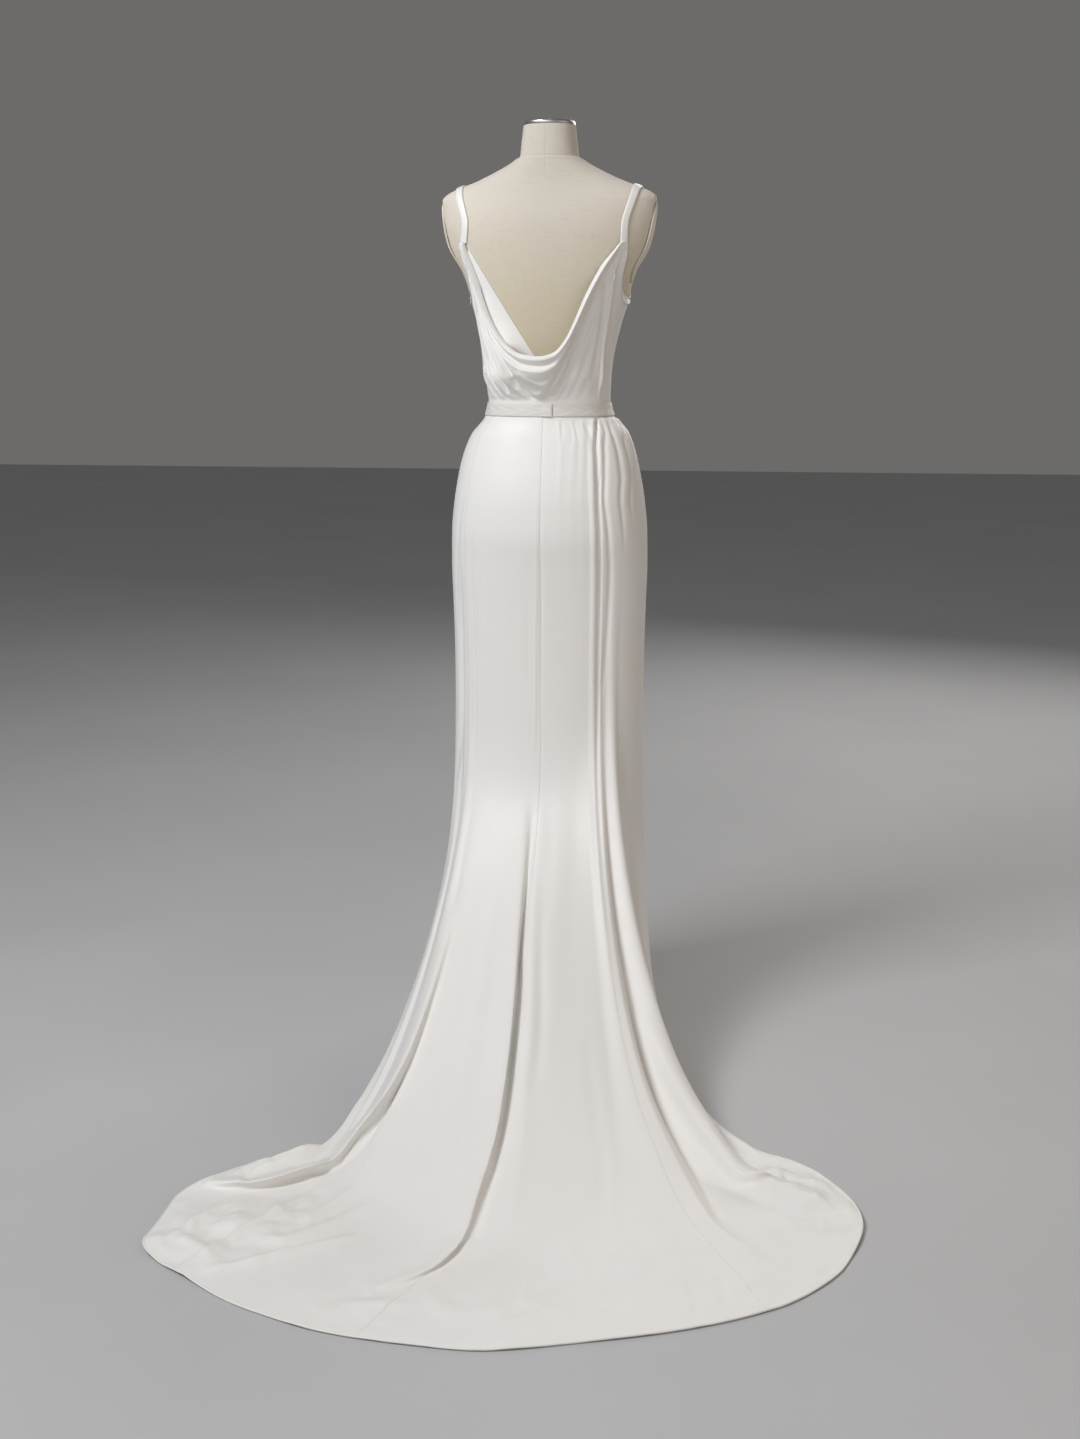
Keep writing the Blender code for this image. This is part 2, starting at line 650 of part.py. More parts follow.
def build_waistband(material):
    turn = math.degrees(BELT_SLIT / 2 / BELT_REACH)
    start = BELT_SLIT_ANGLE + turn
    columns = np.linspace(start, start + 360 - 2 * turn, BELT_STEPS)
    heights = np.array((BELT_BOTTOM, WAIST_SEAM, BELT_TOP))
    column, height = grid(columns, heights)
    seat = BODICE_CLEAR + CLOTH + BELT_GAP
    inner = figure_point(column, height, seat)
    outer = figure_point(column, height, seat + BELT_THICK)
    wall("waistband", outer, inner, material)


def build_form(linen, metal, paint):
    """The form: a smooth torso and neck, arm plates, cap, pole and base."""
    heights = np.array(TORSO_ROWS)
    angles = np.arange(0, 360, FORM_STEP)
    angle, height = grid(angles, heights)
    rings = figure_point(angle, height)
    limit = smooth(ARM_PLATE["height"], ARM_PLATE["half_width"], height)
    at_arm = height > ARM_PLATE["height"][0]
    rings[..., 0] = np.where(at_arm, np.clip(rings[..., 0], -limit, limit), rings[..., 0])
    torso = stack("form_torso", rings, linen)
    angle, height = grid(angles, (NECK_TOP + SEAM_GAP, NECK_TOP + SEAM_GAP + CAP_THICK))
    neck = figure_point(angle, np.full_like(angle, NECK_TOP), -0.0005)
    neck[..., 2] = height
    stack("form_neck_cap", neck, metal)
    spin = np.radians(np.arange(0, 360, 15.0))
    at_rows = smooth(ARM_PLATE["height"], ARM_PLATE["half_width"], TORSO_ROWS)
    for name, side in (("form_arm_plate_left", 1), ("form_arm_plate_right", -1)):
        rings = []
        for share, out in PLATE_RINGS:
            height = PLATE_HEIGHT + share * PLATE_HALF_TALL * np.cos(spin)
            deep = PLATE_MIDDLE + share * PLATE_HALF_DEEP * np.sin(spin)
            face = np.interp(height, TORSO_ROWS, at_rows)
            rings.append(np.stack([side * (face + PLATE_GAP + PLATE_THICK * out), deep, height], -1))
        stack(name, np.array(rings), linen)
    turned("form_pole", ((0, BASE_THICK + SEAM_GAP), (POLE_RADIUS, BASE_THICK + SEAM_GAP),
                         (POLE_RADIUS, TORSO_END - SEAM_GAP), (0, TORSO_END - SEAM_GAP)), 20, metal)
    turned("form_base", ((0, 0), (BASE_RADIUS - 0.003, 0), (BASE_RADIUS, 0.003), (BASE_RADIUS, 0.008),
                         (BASE_RADIUS - 0.006, BASE_THICK), (0, BASE_THICK)), 32, paint)
    return torso


def turned(name, profile, steps, material):
    """A solid of revolution about the vertical axis from its profile of radius and height."""
    work = bmesh.new()
    corners = [work.verts.new((radius, 0, height)) for radius, height in profile]
    edges = [work.edges.new(pair) for pair in zip(corners, corners[1:])]
    bmesh.ops.spin(
        work, geom=corners + edges, cent=(0, 0, 0), axis=(0, 0, 1), angle=math.tau,
        steps=steps, use_merge=True,
    )  # fmt: skip
    bmesh.ops.remove_doubles(work, verts=work.verts, dist=1e-5)
    mesh = bpy.data.meshes.new(name)
    work.to_mesh(mesh)
    work.free()
    points = [tuple(vertex.co) for vertex in mesh.vertices]
    faces = [tuple(face.vertices) for face in mesh.polygons]
    bpy.data.meshes.remove(mesh)
    return new_object(name, points, faces, material)


def build_straps(torso, material):
    """Flat straps over the shoulders, between the front bodice and the cowl's ends."""
    tree = BVHTree.FromPolygons(
        [vertex.co for vertex in torso.data.vertices],
        [tuple(face.vertices) for face in torso.data.polygons],
    )
    route = table(
        ("x", "y", "z"),
        (
            (0.1440, -0.0680, 1.4200),
            (0.1530, -0.0520, 1.4600),
            (0.1580, -0.0250, 1.4860),
            (0.1590, 0.0050, 1.4920),
            (0.1580, 0.0350, 1.4860),
            (0.1540, 0.0620, 1.4600),
            (0.1470, 0.0800, 1.4250),
        ),
    )
    front = figure_point(STRAP_FRONT_ANGLE, STRAP_FRONT_END)
    knots = np.arange(len(route["x"]) + 2, dtype=float)
    steps = np.linspace(0, knots[-1], 20)
    for name, side in (("strap_left", 1), ("strap_right", -1)):
        back = figure_point(STRAP_BACK_ANGLES[name], STRAP_BACK_END)
        middle = []
        for axis, start, end in zip("xyz", front, back):
            middle.append(smooth(knots, np.concatenate([[start], route[axis], [end]]), steps))
        middle = np.stack(middle, -1)
        middle[:, 0] *= side
        outer = []
        inner = []
        for place, tangent in zip(middle, np.gradient(middle, axis=0)):
            normal = np.array(tree.find_nearest(Vector(place))[1])
            across = np.cross(tangent, normal)
            across /= np.linalg.norm(across)
            seats = []
            for share in (-0.5, 0.0, 0.5):
                point = place + across * STRAP_WIDTH * share
                seats.append(np.array(tree.find_nearest(Vector(point))[0]))
            inner.append([seat + normal * STRAP_SEAT for seat in seats])
            outer.append([seat + normal * (STRAP_SEAT + STRAP_THICK) for seat in seats])
        outer = np.array(outer)
        inner = np.array(inner)
        for face in (outer, inner):
            face[0, :, 2] = STRAP_FRONT_END
            face[-1, :, 2] = STRAP_BACK_END
        wall(name, outer, inner, material)


def main():
    for item in list(bpy.data.objects):
        bpy.data.objects.remove(item)
    crepe = finish("ivory crepe", (0.84, 0.81, 0.76), 0.5)
    linen = finish("form linen", (0.72, 0.63, 0.50), 0.8)
    metal = finish("form metal", (0.55, 0.55, 0.56), 0.35, 1.0)
    paint = finish("stand paint", (0.12, 0.12, 0.13), 0.45)
    torso = build_form(linen, metal, paint)
    build_straps(torso, crepe)
    build_bodice(crepe)
    build_facing(crepe)
    build_waistband(crepe)
    build_skirt(crepe)


main()
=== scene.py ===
"""Looks of the wedding dress on its form: fine cloth shells, creases, stitching, materials and light."""

import math

import bpy
import numpy as np
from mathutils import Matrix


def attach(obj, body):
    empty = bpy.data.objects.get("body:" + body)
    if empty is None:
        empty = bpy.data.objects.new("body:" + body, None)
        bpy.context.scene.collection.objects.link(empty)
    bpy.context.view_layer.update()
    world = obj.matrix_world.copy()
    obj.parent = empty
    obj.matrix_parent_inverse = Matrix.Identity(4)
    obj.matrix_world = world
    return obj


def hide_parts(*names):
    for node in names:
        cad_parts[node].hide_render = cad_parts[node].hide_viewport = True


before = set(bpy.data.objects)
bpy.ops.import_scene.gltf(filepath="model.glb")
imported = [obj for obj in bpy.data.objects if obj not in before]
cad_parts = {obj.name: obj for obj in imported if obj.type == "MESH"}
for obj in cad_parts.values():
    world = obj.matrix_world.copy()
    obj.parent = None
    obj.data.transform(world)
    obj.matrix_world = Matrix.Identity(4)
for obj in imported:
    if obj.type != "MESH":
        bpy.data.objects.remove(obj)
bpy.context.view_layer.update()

# Camera of the photograph: its distance, height, side offset and turn round the form
CAMERA_AWAY = 3.16
CAMERA_HEIGHT = 1.21
CAMERA_ASIDE = -0.017
CAMERA_TURN = 8.0
CAMERA_PITCH = 5.1
CAMERA_LENS = 44.5
CAMERA_SHIFT = -0.15

# Cloth
CLOTH = 0.0015
SHELL = 0.0010
BODICE_SHELL = 0.0006
FLOOR_CLOTH = 0.0025
SEAM_GAP = 0.0003
BODICE_CLEAR = 0.0012
BUST_EASE = 0.0010
SKIRT_CLEAR = 0.0020
WAIST_SEAM = 1.0976
BELT_TOP = 1.1090
BELT_BOTTOM = 1.0865
BELT_THICK = 0.0018
BELT_GAP = 0.0006
BELT_SLIT_ANGLE = -7.2
BELT_SLIT = 0.0018
BELT_REACH = 0.085
BELT_LAP = 0.0016
TORSO_END = 0.790
TORSO_INSET = 0.004
NECK_TOP = 1.592
FIGURE_POWER = 2.15
FLARE_REACH = np.array((0.30, 0.56))
FLARE_LOW = 0.20
SKIRT_TOP = WAIST_SEAM - SEAM_GAP / 2
BODICE_BOTTOM = WAIST_SEAM + SEAM_GAP / 2
FLOOR_GAP = 0.0002
BELT_RIPPLE = 0.00025
UP = np.array((0.0, 0.0, 1.0))

# Heights between which the skirt's columns are drawn together, and its cloth comes nearer the skin
GATHERED = (0.93, 1.07)
FITTED = (1.05, 1.086)

# Heights between which the bodice is freed from the band: its swags, its creases and its facing side
FREE_SWAGS = (1.1125, 1.124)
FREE_CREASES = (1.1125, 1.122)
FREE_FACING = (1.1125, 1.135)
BUST_HEIGHTS = (1.13, 1.20)
BUST_COLUMNS = (92, 112)


def table(names, rows):
    """The rows of a short table as one array for each named column."""
    return dict(zip(names.split(), np.array(rows, float).T))


def listed(names, rows):
    """The rows of a short table, each with its values under their names."""
    return [dict(zip(names.split(), values)) for values in rows]


def runs(*spans):
    """Places from each span's start up to its end, this many in each, and the last end."""
    steps = [np.linspace(start, end, count, endpoint=False) for start, end, count in spans]
    return np.concatenate(steps + [[spans[-1][1]]])


# The figure's level sections: half of the width, and how far it reaches behind and before the axis
FIGURE = table("height half_width behind before", (
    (0, 0.21, 0.15, 0.175),
    (0.2, 0.1825, 0.1215, 0.1465),
    (0.313, 0.1735, 0.1165, 0.1315),
    (0.384, 0.169, 0.1135, 0.1245),
    (0.473, 0.166, 0.1115, 0.1185),
    (0.58, 0.1655, 0.1105, 0.1145),
    (0.686, 0.167, 0.1115, 0.1125),
    (0.75, 0.169, 0.1135, 0.1115),
    (0.825, 0.1715, 0.119, 0.1105),
    (0.88, 0.171, 0.1245, 0.1105),
    (0.93, 0.167, 0.1215, 0.1105),
    (0.97, 0.161, 0.1145, 0.1085),
    (1.004, 0.154, 0.1055, 0.1045),
    (1.05, 0.137, 0.0925, 0.0975),
    (1.086, 0.111, 0.082, 0.0905),
    (1.109, 0.1055, 0.079, 0.088),
    (1.148, 0.1065, 0.08, 0.092),
    (1.187, 0.1105, 0.083, 0.1),
    (1.237, 0.1215, 0.089, 0.116),
    (1.293, 0.139, 0.094, 0.128),
    (1.333, 0.155, 0.096, 0.122),
    (1.385, 0.181, 0.094, 0.1),
    (1.424, 0.191, 0.088, 0.08),
    (1.46, 0.194, 0.074, 0.062),
    (1.475, 0.18, 0.066, 0.055),
    (1.485, 0.158, 0.061, 0.05),
    (1.495, 0.132, 0.057, 0.047),
    (1.505, 0.11, 0.054, 0.047),
    (1.515, 0.09, 0.052, 0.048),
    (1.525, 0.072, 0.05, 0.05),
    (1.533, 0.06, 0.049, 0.052),
    (1.539, 0.052, 0.048, 0.053),
    (1.56, 0.0495, 0.046, 0.052),
    (1.592, 0.0455, 0.043, 0.049),
))

# How far from the middle the arm plates stand, at each height
ARM_PLATE = table("height half_width", (
    (1.29, 0.1385), (1.333, 0.1465), (1.385, 0.1725), (1.424, 0.1815), (1.465, 0.1875), (1.5, 0.19),
))

# The back bodice: each column's angle at the waist, and its angle and height at the top edge
BACK_EDGE = table("column angle height", (
    (-90, -90, 1.292),
    (-82, -77, 1.293),
    (-75, -66, 1.303),
    (-68, -57, 1.338),
    (-63, -50, 1.385),
    (-58, -45.5, 1.385),
    (-52, -40.5, 1.366),
    (-44, -34, 1.33),
    (-34, -27, 1.285),
    (-26, -21.5, 1.245),
    (-18, -15.5, 1.212),
    (-9, -7.5, 1.19),
    (1, 1.5, 1.184),
    (12, 12, 1.187),
    (24, 22.5, 1.2),
    (34, 32, 1.223),
    (44, 42, 1.262),
    (52, 47.5, 1.31),
    (57, 48.5, 1.352),
    (60, 48, 1.385),
    (64, 52.5, 1.385),
    (69, 58, 1.338),
    (75, 66, 1.303),
    (82, 77, 1.293),
    (90, 90, 1.292),
))

# The front bodice's top edge
FRONT_EDGE = table("column height", (
    (90, 1.292), (104, 1.298), (115, 1.318), (122, 1.345), (128, 1.372), (135, 1.372), (142, 1.348),
    (152, 1.322), (165, 1.306), (180, 1.302),
))

# The cowl's swags: how low each hangs at the middle, and how far the cloth stands out there
COWL_FOLDS = table("level rise", (
    (0.18, 0.002), (0.1995, 0.003), (0.2065, 0.0095), (0.216, 0.0055), (0.233, 0.009), (0.25, 0.004),
    (0.268, 0.007), (0.285, 0.0025), (0.303, 0.005), (0.322, 0.0012), (0.345, 0.0045), (0.375, 0.001),
    (0.41, 0.0038), (0.46, 0.0006), (0.53, 0.003), (0.62, 0.0004), (0.75, 0.0015), (0.95, 0),
))
COWL_LEVEL = 0.2065
COWL_MIDDLE = 0.009
COWL_TOP = 1.392
COWL_LEFT = 0.138
COWL_RIGHT = -0.132
COWL_LEFT_BEND = 2.2
COWL_RIGHT_BEND = 1.1
COWL_BULGE = 0.020
COWL_BELLY = (1.120, 1.160)
COWL_SOFT = 0.02
COWL_FADE = 0.05
COWL_ENDS = (-60, 61)
PANEL_LEVELS = (0.216, 0.25)
PANEL_COLUMNS = (6, -26)

# The facing: its line on the form as across and up, and how far it stays behind the cowl
FACING_TOP = np.array((0.1345, 1.3800))
FACING_END = np.array((0.0130, 1.1880))
FACING_COLUMNS = (-10, 2, 65, 72)
FACING_ROOM = 0.0026
FACING_SEAT = 0.0008
FACING_UNDER = 0.004
FACING_BELOW = 0.0035

# The skirt below the knee: the height where each column leaves the figure, the share of that
# height that it still falls straight, and where it meets the floor and ends
TRAIN = table("column leave hold floor_x floor_y hem_x hem_y", (
    (-180, 0.25, 0.35, 0, -0.165, 0, -0.18),
    (-155, 0.25, 0.35, -0.09, -0.145, -0.095, -0.158),
    (-128, 0.26, 0.4, -0.185, -0.02, -0.193, -0.02),
    (-112, 0.3, 0.5, -0.215, 0.12, -0.23, 0.15),
    (-100, 0.34, 0.52, -0.24, 0.25, -0.262, 0.285),
    (-85, 0.38, 0.5, -0.275, 0.38, -0.31, 0.42),
    (-70, 0.42, 0.46, -0.315, 0.48, -0.375, 0.522),
    (-56, 0.48, 0.42, -0.345, 0.56, -0.48, 0.598),
    (-44, 0.54, 0.38, -0.365, 0.64, -0.535, 0.745),
    (-38, 0.54, 0.36, -0.335, 0.7, -0.508, 0.855),
    (-33, 0.52, 0.35, -0.295, 0.745, -0.425, 0.965),
    (-19, 0.46, 0.25, -0.16, 0.82, -0.19, 1.078),
    (-9, 0.445, 0.2, -0.075, 0.85, -0.04, 1.116),
    (0, 0.44, 0.2, 0, 0.86, 0.09, 1.108),
    (26, 0.46, 0.25, 0.11, 0.8, 0.225, 1.07),
    (50, 0.486, 0.32, 0.212, 0.705, 0.345, 1),
    (60, 0.47, 0.36, 0.231, 0.678, 0.428, 0.92),
    (70, 0.45, 0.42, 0.239, 0.662, 0.428, 0.8),
    (80, 0.42, 0.5, 0.241, 0.635, 0.375, 0.712),
    (90, 0.38, 0.54, 0.236, 0.59, 0.262, 0.606),
    (100, 0.34, 0.54, 0.224, 0.45, 0.24, 0.47),
    (112, 0.3, 0.5, 0.213, 0.24, 0.228, 0.262),
    (128, 0.26, 0.4, 0.182, 0.02, 0.192, 0.03),
    (155, 0.25, 0.35, 0.09, -0.145, 0.095, -0.158),
    (180, 0.25, 0.35, 0, -0.165, 0, -0.18),
))

# The gathers pull the columns together at the right of the waist
WAIST_COLUMNS = table("column angle", (
    (-180, -180), (-130, -136), (-100, -112), (-70, -98), (-61, -91), (-55, -84), (-50, -77), (-45, -68),
    (-40.5, -59), (-36, -50), (-32, -44.5), (-23, -31.5), (-16.5, -22), (-10, -12), (0, 0), (180, 180),
))

# Folds down the skirt: column, half width in degrees, and millimetres out at six rows
FOLD_PLACES = ("waist", "hip", "knee", "flare", "floor", "hem")
FOLD_AT = np.array((0.0, 0.0205, 0.034, 0.30, 1.00, 1.50, 2.00, 3.00))
FOLDS = listed("column half_width waist hip knee flare floor hem", (
    (-48, 45, 5.8, 6.2, 2, 0, 0, 0),
    (-10, 2.2, 0.6, 0.1, 0, 0, 0, 0),
    (-16.5, 2.4, 0.7, 0.1, 0, 0, 0, 0),
    (-23, 2.6, 0.9, 0.2, 0, 0, 0, 0),
    (-29.5, 2.8, 1.8, 2.2, 1.2, 0, 0, 0),
    (-33.2, 2.3, -5.4, -5.4, -4, -3, 0, 0),
    (-32.5, 5, 0, 0, 2, 8, 8, 0),
    (-38.5, 4.8, 0, 0, -3, -15, -14, 0),
    (-44.5, 5.5, 0, 0, 3, 10, 15, 3),
    (-58, 7, 0, 0, 0, -10, -6, 0),
    (48, 6, 0, 0, 2, 4, 2, 0),
    (61, 6.5, 0, 0, -3, -14, -2, 0),
    (78, 8, 0, 0, 1, 5, 10, 4),
    (92, 7, 0, 0, 0, -8, -6, 0),
    (118, 9, 0, 0, 0.6, 3.5, 6, 3),
    (134, 9, 0, 0, -0.6, -4, -4, 0),
    (152, 10, 0, 0.4, 1, 4, 6, 3),
    (172, 10, 0, 0, -0.8, -4, -4, 0),
    (-168, 9, 0, 0.3, 0.8, 4, 6, 3),
    (-147, 10, 0, 0, -0.8, -4.5, -4, 0),
    (-126, 10, 0, 0.3, 1, 4, 7, 3),
    (-108, 8, 0, 0, 0, -4, -4, 0),
))

# The pleats at the right of the waist lean over the hip, so that they fall straight: how many
# columns at each row, and the share of it at each column
PLEAT_LEAN = table("row columns", (
    (0, -3), (0.02, -3), (0.05, 1.2), (0.08, 4.2), (0.11, 4.8), (0.14, 4.2), (0.18, 3), (0.22, 1.2),
    (0.28, 0), (3, 0),
))
PLEAT_SHARE = table("column share", (
    (-90, 0), (-42, 1.7), (-30, 1), (-24, 0.6), (-14, 0), (180, 0),
))

# Soft creases of the skirt. Each runs through places of (column, row), with a half width and a
# depth in millimetres. A negative depth is a trough.
SKIRT_CREASES = (
    (((43.5, 0.34), (45, 0.54), (45.5, 0.7), (45, 0.88), (44.5, 1.05), (44, 1.2), (43, 1.31), (42, 1.4)),
      5, -4.4),
    (((42, 0.36), (42.5, 0.55), (43, 0.72)), 4, 1.2),
    (((38.5, 0.37), (38.5, 0.53), (40, 0.65), (41, 0.76)), 4, -1.6),
    (((57.5, 0.42), (59.5, 0.59), (62, 0.81), (65, 0.97), (67, 1.1), (65.5, 1.25), (65.5, 1.4)), 8, -4),
    (((57, 0.24), (61, 0.36), (64.5, 0.48), (66, 0.62)), 6, -1.8),
    (((1.5, 0.2), (2, 0.49), (2.5, 0.6), (2.5, 0.75), (3.5, 0.91), (3.5, 1.02)), 3, 0.9),
    (((-0.8, 0.2), (-0.2, 0.5), (0.4, 0.75), (1.6, 1)), 4, -0.7),
    (((6.5, 0.45), (6.5, 0.6), (6.5, 0.75)), 4, -0.5),
    (((-39, 0), (-38, 0.03), (-35.5, 0.07), (-33, 0.11), (-34.2, 0.17), (-36.4, 0.23), (-39.2, 0.37),
      (-40.2, 0.5), (-39.8, 0.65), (-38, 0.8), (-34.5, 0.9)), 4.5, -3),
    (((-44, 0), (-42.5, 0.03), (-39, 0.08), (-42, 0.16), (-47.5, 0.23), (-50, 0.3), (-51, 0.42)), 4.5,
      -2.8),
    (((-54, 0), (-53, 0.03), (-45.5, 0.1), (-49, 0.15), (-57.5, 0.21), (-60, 0.3)), 4.5, -2.6),
    (((-59, 0), (-57, 0.04), (-52, 0.08), (-56, 0.14), (-62, 0.2)), 4.5, -2.2),
    (((-11.5, 0.03), (-11, 0.05), (-10, 0.09)), 3, -1),
    (((-16, 0.03), (-15.5, 0.06), (-15, 0.09)), 3, -1),
    (((-18.5, 0.03), (-18, 0.05), (-17.5, 0.08)), 3, -1),
    (((-24, 0.03), (-25, 0.07), (-25.5, 0.12)), 4, -1.4),
    (((3.5, 0.98), (3.2, 1.12), (2.6, 1.24), (2, 1.36), (1, 1.46), (-1.5, 1.56), (-2.4, 1.66),
      (-3.2, 1.76), (-2.8, 1.87), (-2.2, 1.95), (-2, 2.05)), 9, -14),
    (((9, 1.1), (8.5, 1.3), (7.5, 1.5), (5, 1.7), (5, 1.9), (4.5, 2.1), (5, 2.3)), 20, 5),
    (((48.5, 2.94), (43, 2.78), (38.5, 2.63), (33, 2.45), (28, 2.26)), 7, 6),
    (((-1, 1.06), (-2.5, 1.3), (-5, 1.5), (-7, 1.66), (-7.6, 1.8), (-7, 2)), 14, 5),
    (((-1.5, 1.21), (-7, 1.48), (-9.5, 1.63), (-8, 1.8)), 9, -2.4),
    (((-23.5, 1.62), (-23.5, 1.85), (-22, 1.95), (-21, 2.05)), 12, -2.5),
    (((-28.5, 1.55), (-27.5, 1.75), (-26, 1.9), (-24, 2.02)), 12, -2.5),
    (((18, 1.3), (17, 1.6), (16, 1.85), (16, 2.1)), 16, -2),
    (((30, 1.2), (29, 1.5), (28, 1.8), (28, 2.1)), 18, -2),
    (((-15, 2), (-17.5, 2.25), (-19.5, 2.6)), 12, 5),
    (((-11.5, 2.35), (-12.5, 2.52), (-13, 2.72)), 8, 3.5),
    (((-13.5, 2.6), (-16, 2.76), (-18.5, 2.92)), 8, 3.5),
    (((-27.5, 2.58), (-27, 2.74), (-26.5, 2.92)), 9, 3.5),
    (((-21.5, 2.72), (-21.8, 2.82), (-21.5, 2.94)), 8, 3),
    (((-30.5, 2.66), (-29.5, 2.78), (-28.5, 2.92)), 8, 3),
    (((-3, 2.66), (3, 2.72), (9, 2.78)), 12, 3.5),
    (((-34, 1.45), (-34, 1.67), (-34.3, 1.8), (-35, 1.93), (-34, 2.2), (-34.5, 2.52)), 8, 4.5),
    (((-37.5, 1.55), (-38, 1.78), (-38.5, 1.95), (-37, 2.2)), 10, -5),
    (((-41.5, 1.65), (-42, 1.85), (-43, 1.96), (-43.5, 2.15)), 7, 4.5),
    (((-34.5, 2.16), (-37, 2.33), (-40, 2.56), (-41.5, 2.72), (-42, 2.92)), 9, 5),
    (((-47, 2.05), (-50, 2.3), (-53, 2.55)), 10, 6),
    (((44, 1.7), (45.5, 1.85), (46.5, 1.95), (46, 2.05)), 7, -4.5),
    (((41, 1.75), (41, 1.95), (41, 2.15), (43, 2.4)), 10, 6),
    (((34, 2.05), (36, 2.25), (40, 2.5), (46, 2.62)), 9, 5),
    (((81, 2.12), (81, 2.4), (80, 2.75)), 6, 7),
    (((87, 2.15), (86, 2.5), (84, 2.85)), 5, 6),
)

# Folds that lean over: path and half width as the creases above, then how high each stands and how
# far it leans, in millimetres. A positive lean is towards the lower columns of a path that runs down.
LEANING_FOLDS = (
    (((43, 1.42), (44.2, 1.58), (46, 1.72), (49, 1.81), (54, 1.88), (60, 1.95), (65, 2.05), (66.8, 2.2),
      (67, 2.35), (68.5, 2.52), (71, 2.7), (75, 2.92)), 11, 19, 27),
    (((-41, 1.62), (-42, 1.8), (-43, 1.95), (-44, 2.08), (-47, 2.25), (-50, 2.45)), 10, 10, -12),
    (((6, 1.04), (5.6, 1.25), (4.8, 1.42), (2.6, 1.58), (1.2, 1.7), (0.6, 1.84), (1.4, 1.95), (1.2, 2.12),
      (1, 2.26), (2.4, 2.4), (6.5, 2.58)), 8.5, 9, 17),
)
HOLLOWS = (
    (((43.5, 1.76), (46.5, 1.86), (49.5, 1.95), (55, 2.02), (60, 2.12)), 9, -9),
    (((-37.5, 1.6), (-38.2, 1.8), (-38.5, 1.95), (-39, 2.08)), 9, -6),
)

# Seams of the skirt: the column of each, and how deep its line lies in millimetres
SKIRT_SEAMS = ((0.0, 0.28), (52.0, 0.35), (102.0, 0.35), (-102.0, 0.35), (-32.0, 0.30))
SEAM_HALF_WIDTH = 0.0022

# Crumpled stretches of the train: the middle, reach and depth of each, in columns, rows and millimetres
CRUMPLES = listed("column row column_reach row_reach depth", (
    (48, 2.45, 8, 0.26, 17),
    (55, 2.74, 8, 0.3, 20),
    (82, 2.5, 14, 0.45, 16),
    (-48, 2.6, 10, 0.4, 13),
    (-70, 2.5, 18, 0.45, 16),
    (-12, 2.7, 24, 0.24, 9),
    (14, 2.78, 12, 0.2, 6),
))
CRUMPLE_LAYERS = ((0.5, 0.040, 0.75), (1.3, 0.024, 0.45), (0.1, 0.015, 0.16))
CRUMPLE_CUT = 0.25
CRUMPLE_SEED = 11
FACET_CELLS = 64
FACET_SWAY = 0.30
PATH_STEPS = 8
PATH_TAPER = 0.6

# Creases of the back bodice, as those of the skirt
COWL_CREASES = (
    (((55, 0.9), (38, 0.88), (24, 0.84), (10, 0.78), (0, 0.77), (-14, 0.83)), 5, 4.5),
    (((48, 0.95), (30, 0.93), (14, 0.9), (2, 0.89), (-12, 0.91)), 4, -3.6),
    (((22, 0.58), (15, 0.4), (5, 0.17)), 7, -10),
    (((2, 0.17), (-4, 0.38), (-10, 0.56), (-18, 0.7)), 5, -7),
    (((-3, 0.24), (-13, 0.42), (-25, 0.56), (-32, 0.74), (-45, 0.86)), 6, -7),
    (((16, 0.72), (8, 0.56), (0, 0.5), (-8, 0.58), (-14, 0.7)), 6, 5),
    (((12, 0.36), (4, 0.3), (-3, 0.36)), 5, 2.4),
    (((53, 0.88), (38, 0.82), (28, 0.7), (23, 0.58), (21, 0.36)), 4.5, -7.5),
    (((53, 0.8), (40, 0.7), (31, 0.56), (26, 0.26)), 6, 7),
    (((55, 0.76), (42, 0.6), (35, 0.46), (31, 0.24)), 4.5, -6.5),
    (((57, 0.68), (47, 0.5), (40, 0.34), (36, 0.16)), 6, 5),
    (((60, 0.62), (51, 0.4), (46, 0.2)), 4.5, -5),
    (((-51, 0.86), (-54.5, 0.64), (-53, 0.42), (-46.5, 0.2)), 4.5, -3),
    (((-46, 0.86), (-49, 0.62), (-47.5, 0.42), (-41, 0.22)), 7, 2.4),
    (((-57, 0.84), (-60, 0.62), (-59, 0.4)), 6, 2),
    (((-62, 0.72), (-68, 0.5), (-68, 0.2)), 6, -1.5),
    (((-18, 0.9), (-33, 0.9), (-46, 0.92), (-56, 0.95)), 5, -3.2),
    (((70, 0.62), (66, 0.4), (60, 0.18)), 6, -1.2),
)

# Creases of the front bodice: a dart at each side and soft pulls at the waist
FRONT_CREASES = (
    (((122, 0.04), (121, 0.25), (120, 0.5), (124, 0.66)), 3, -0.9),
    (((238, 0.04), (239, 0.25), (240, 0.5), (236, 0.66)), 3, -0.9),
    (((132, 0.1), (150, 0.17), (168, 0.15)), 7, -0.8),
    (((226, 0.12), (208, 0.2), (190, 0.16)), 7, -0.8),
    (((104, 0.84), (116, 0.74), (128, 0.7)), 7, -0.9),
    (((256, 0.84), (244, 0.74), (232, 0.7)), 7, -0.9),
    (((150, 0.94), (165, 0.84), (180, 0.8), (195, 0.84), (210, 0.94)), 9, 1.2),
    (((145, 0.88), (163, 0.74), (180, 0.69), (197, 0.74), (215, 0.88)), 8, -1),
)

# The skirt's mesh: how many columns between these, and rows down the figure, flare and floor
SKIRT_SPANS = ((-180, -102, 44), (-102, -66, 40), (-66, -32, 96), (-32, 0, 72), (0, 10, 24), (10, 40, 48),
               (40, 52, 32), (52, 80, 88), (80, 102, 28), (102, 180, 44))
SKIRT_ROWS = ((0, 0.12, 21), (0.12, 1, 79), (1, 2, 89), (2, 3, 65))

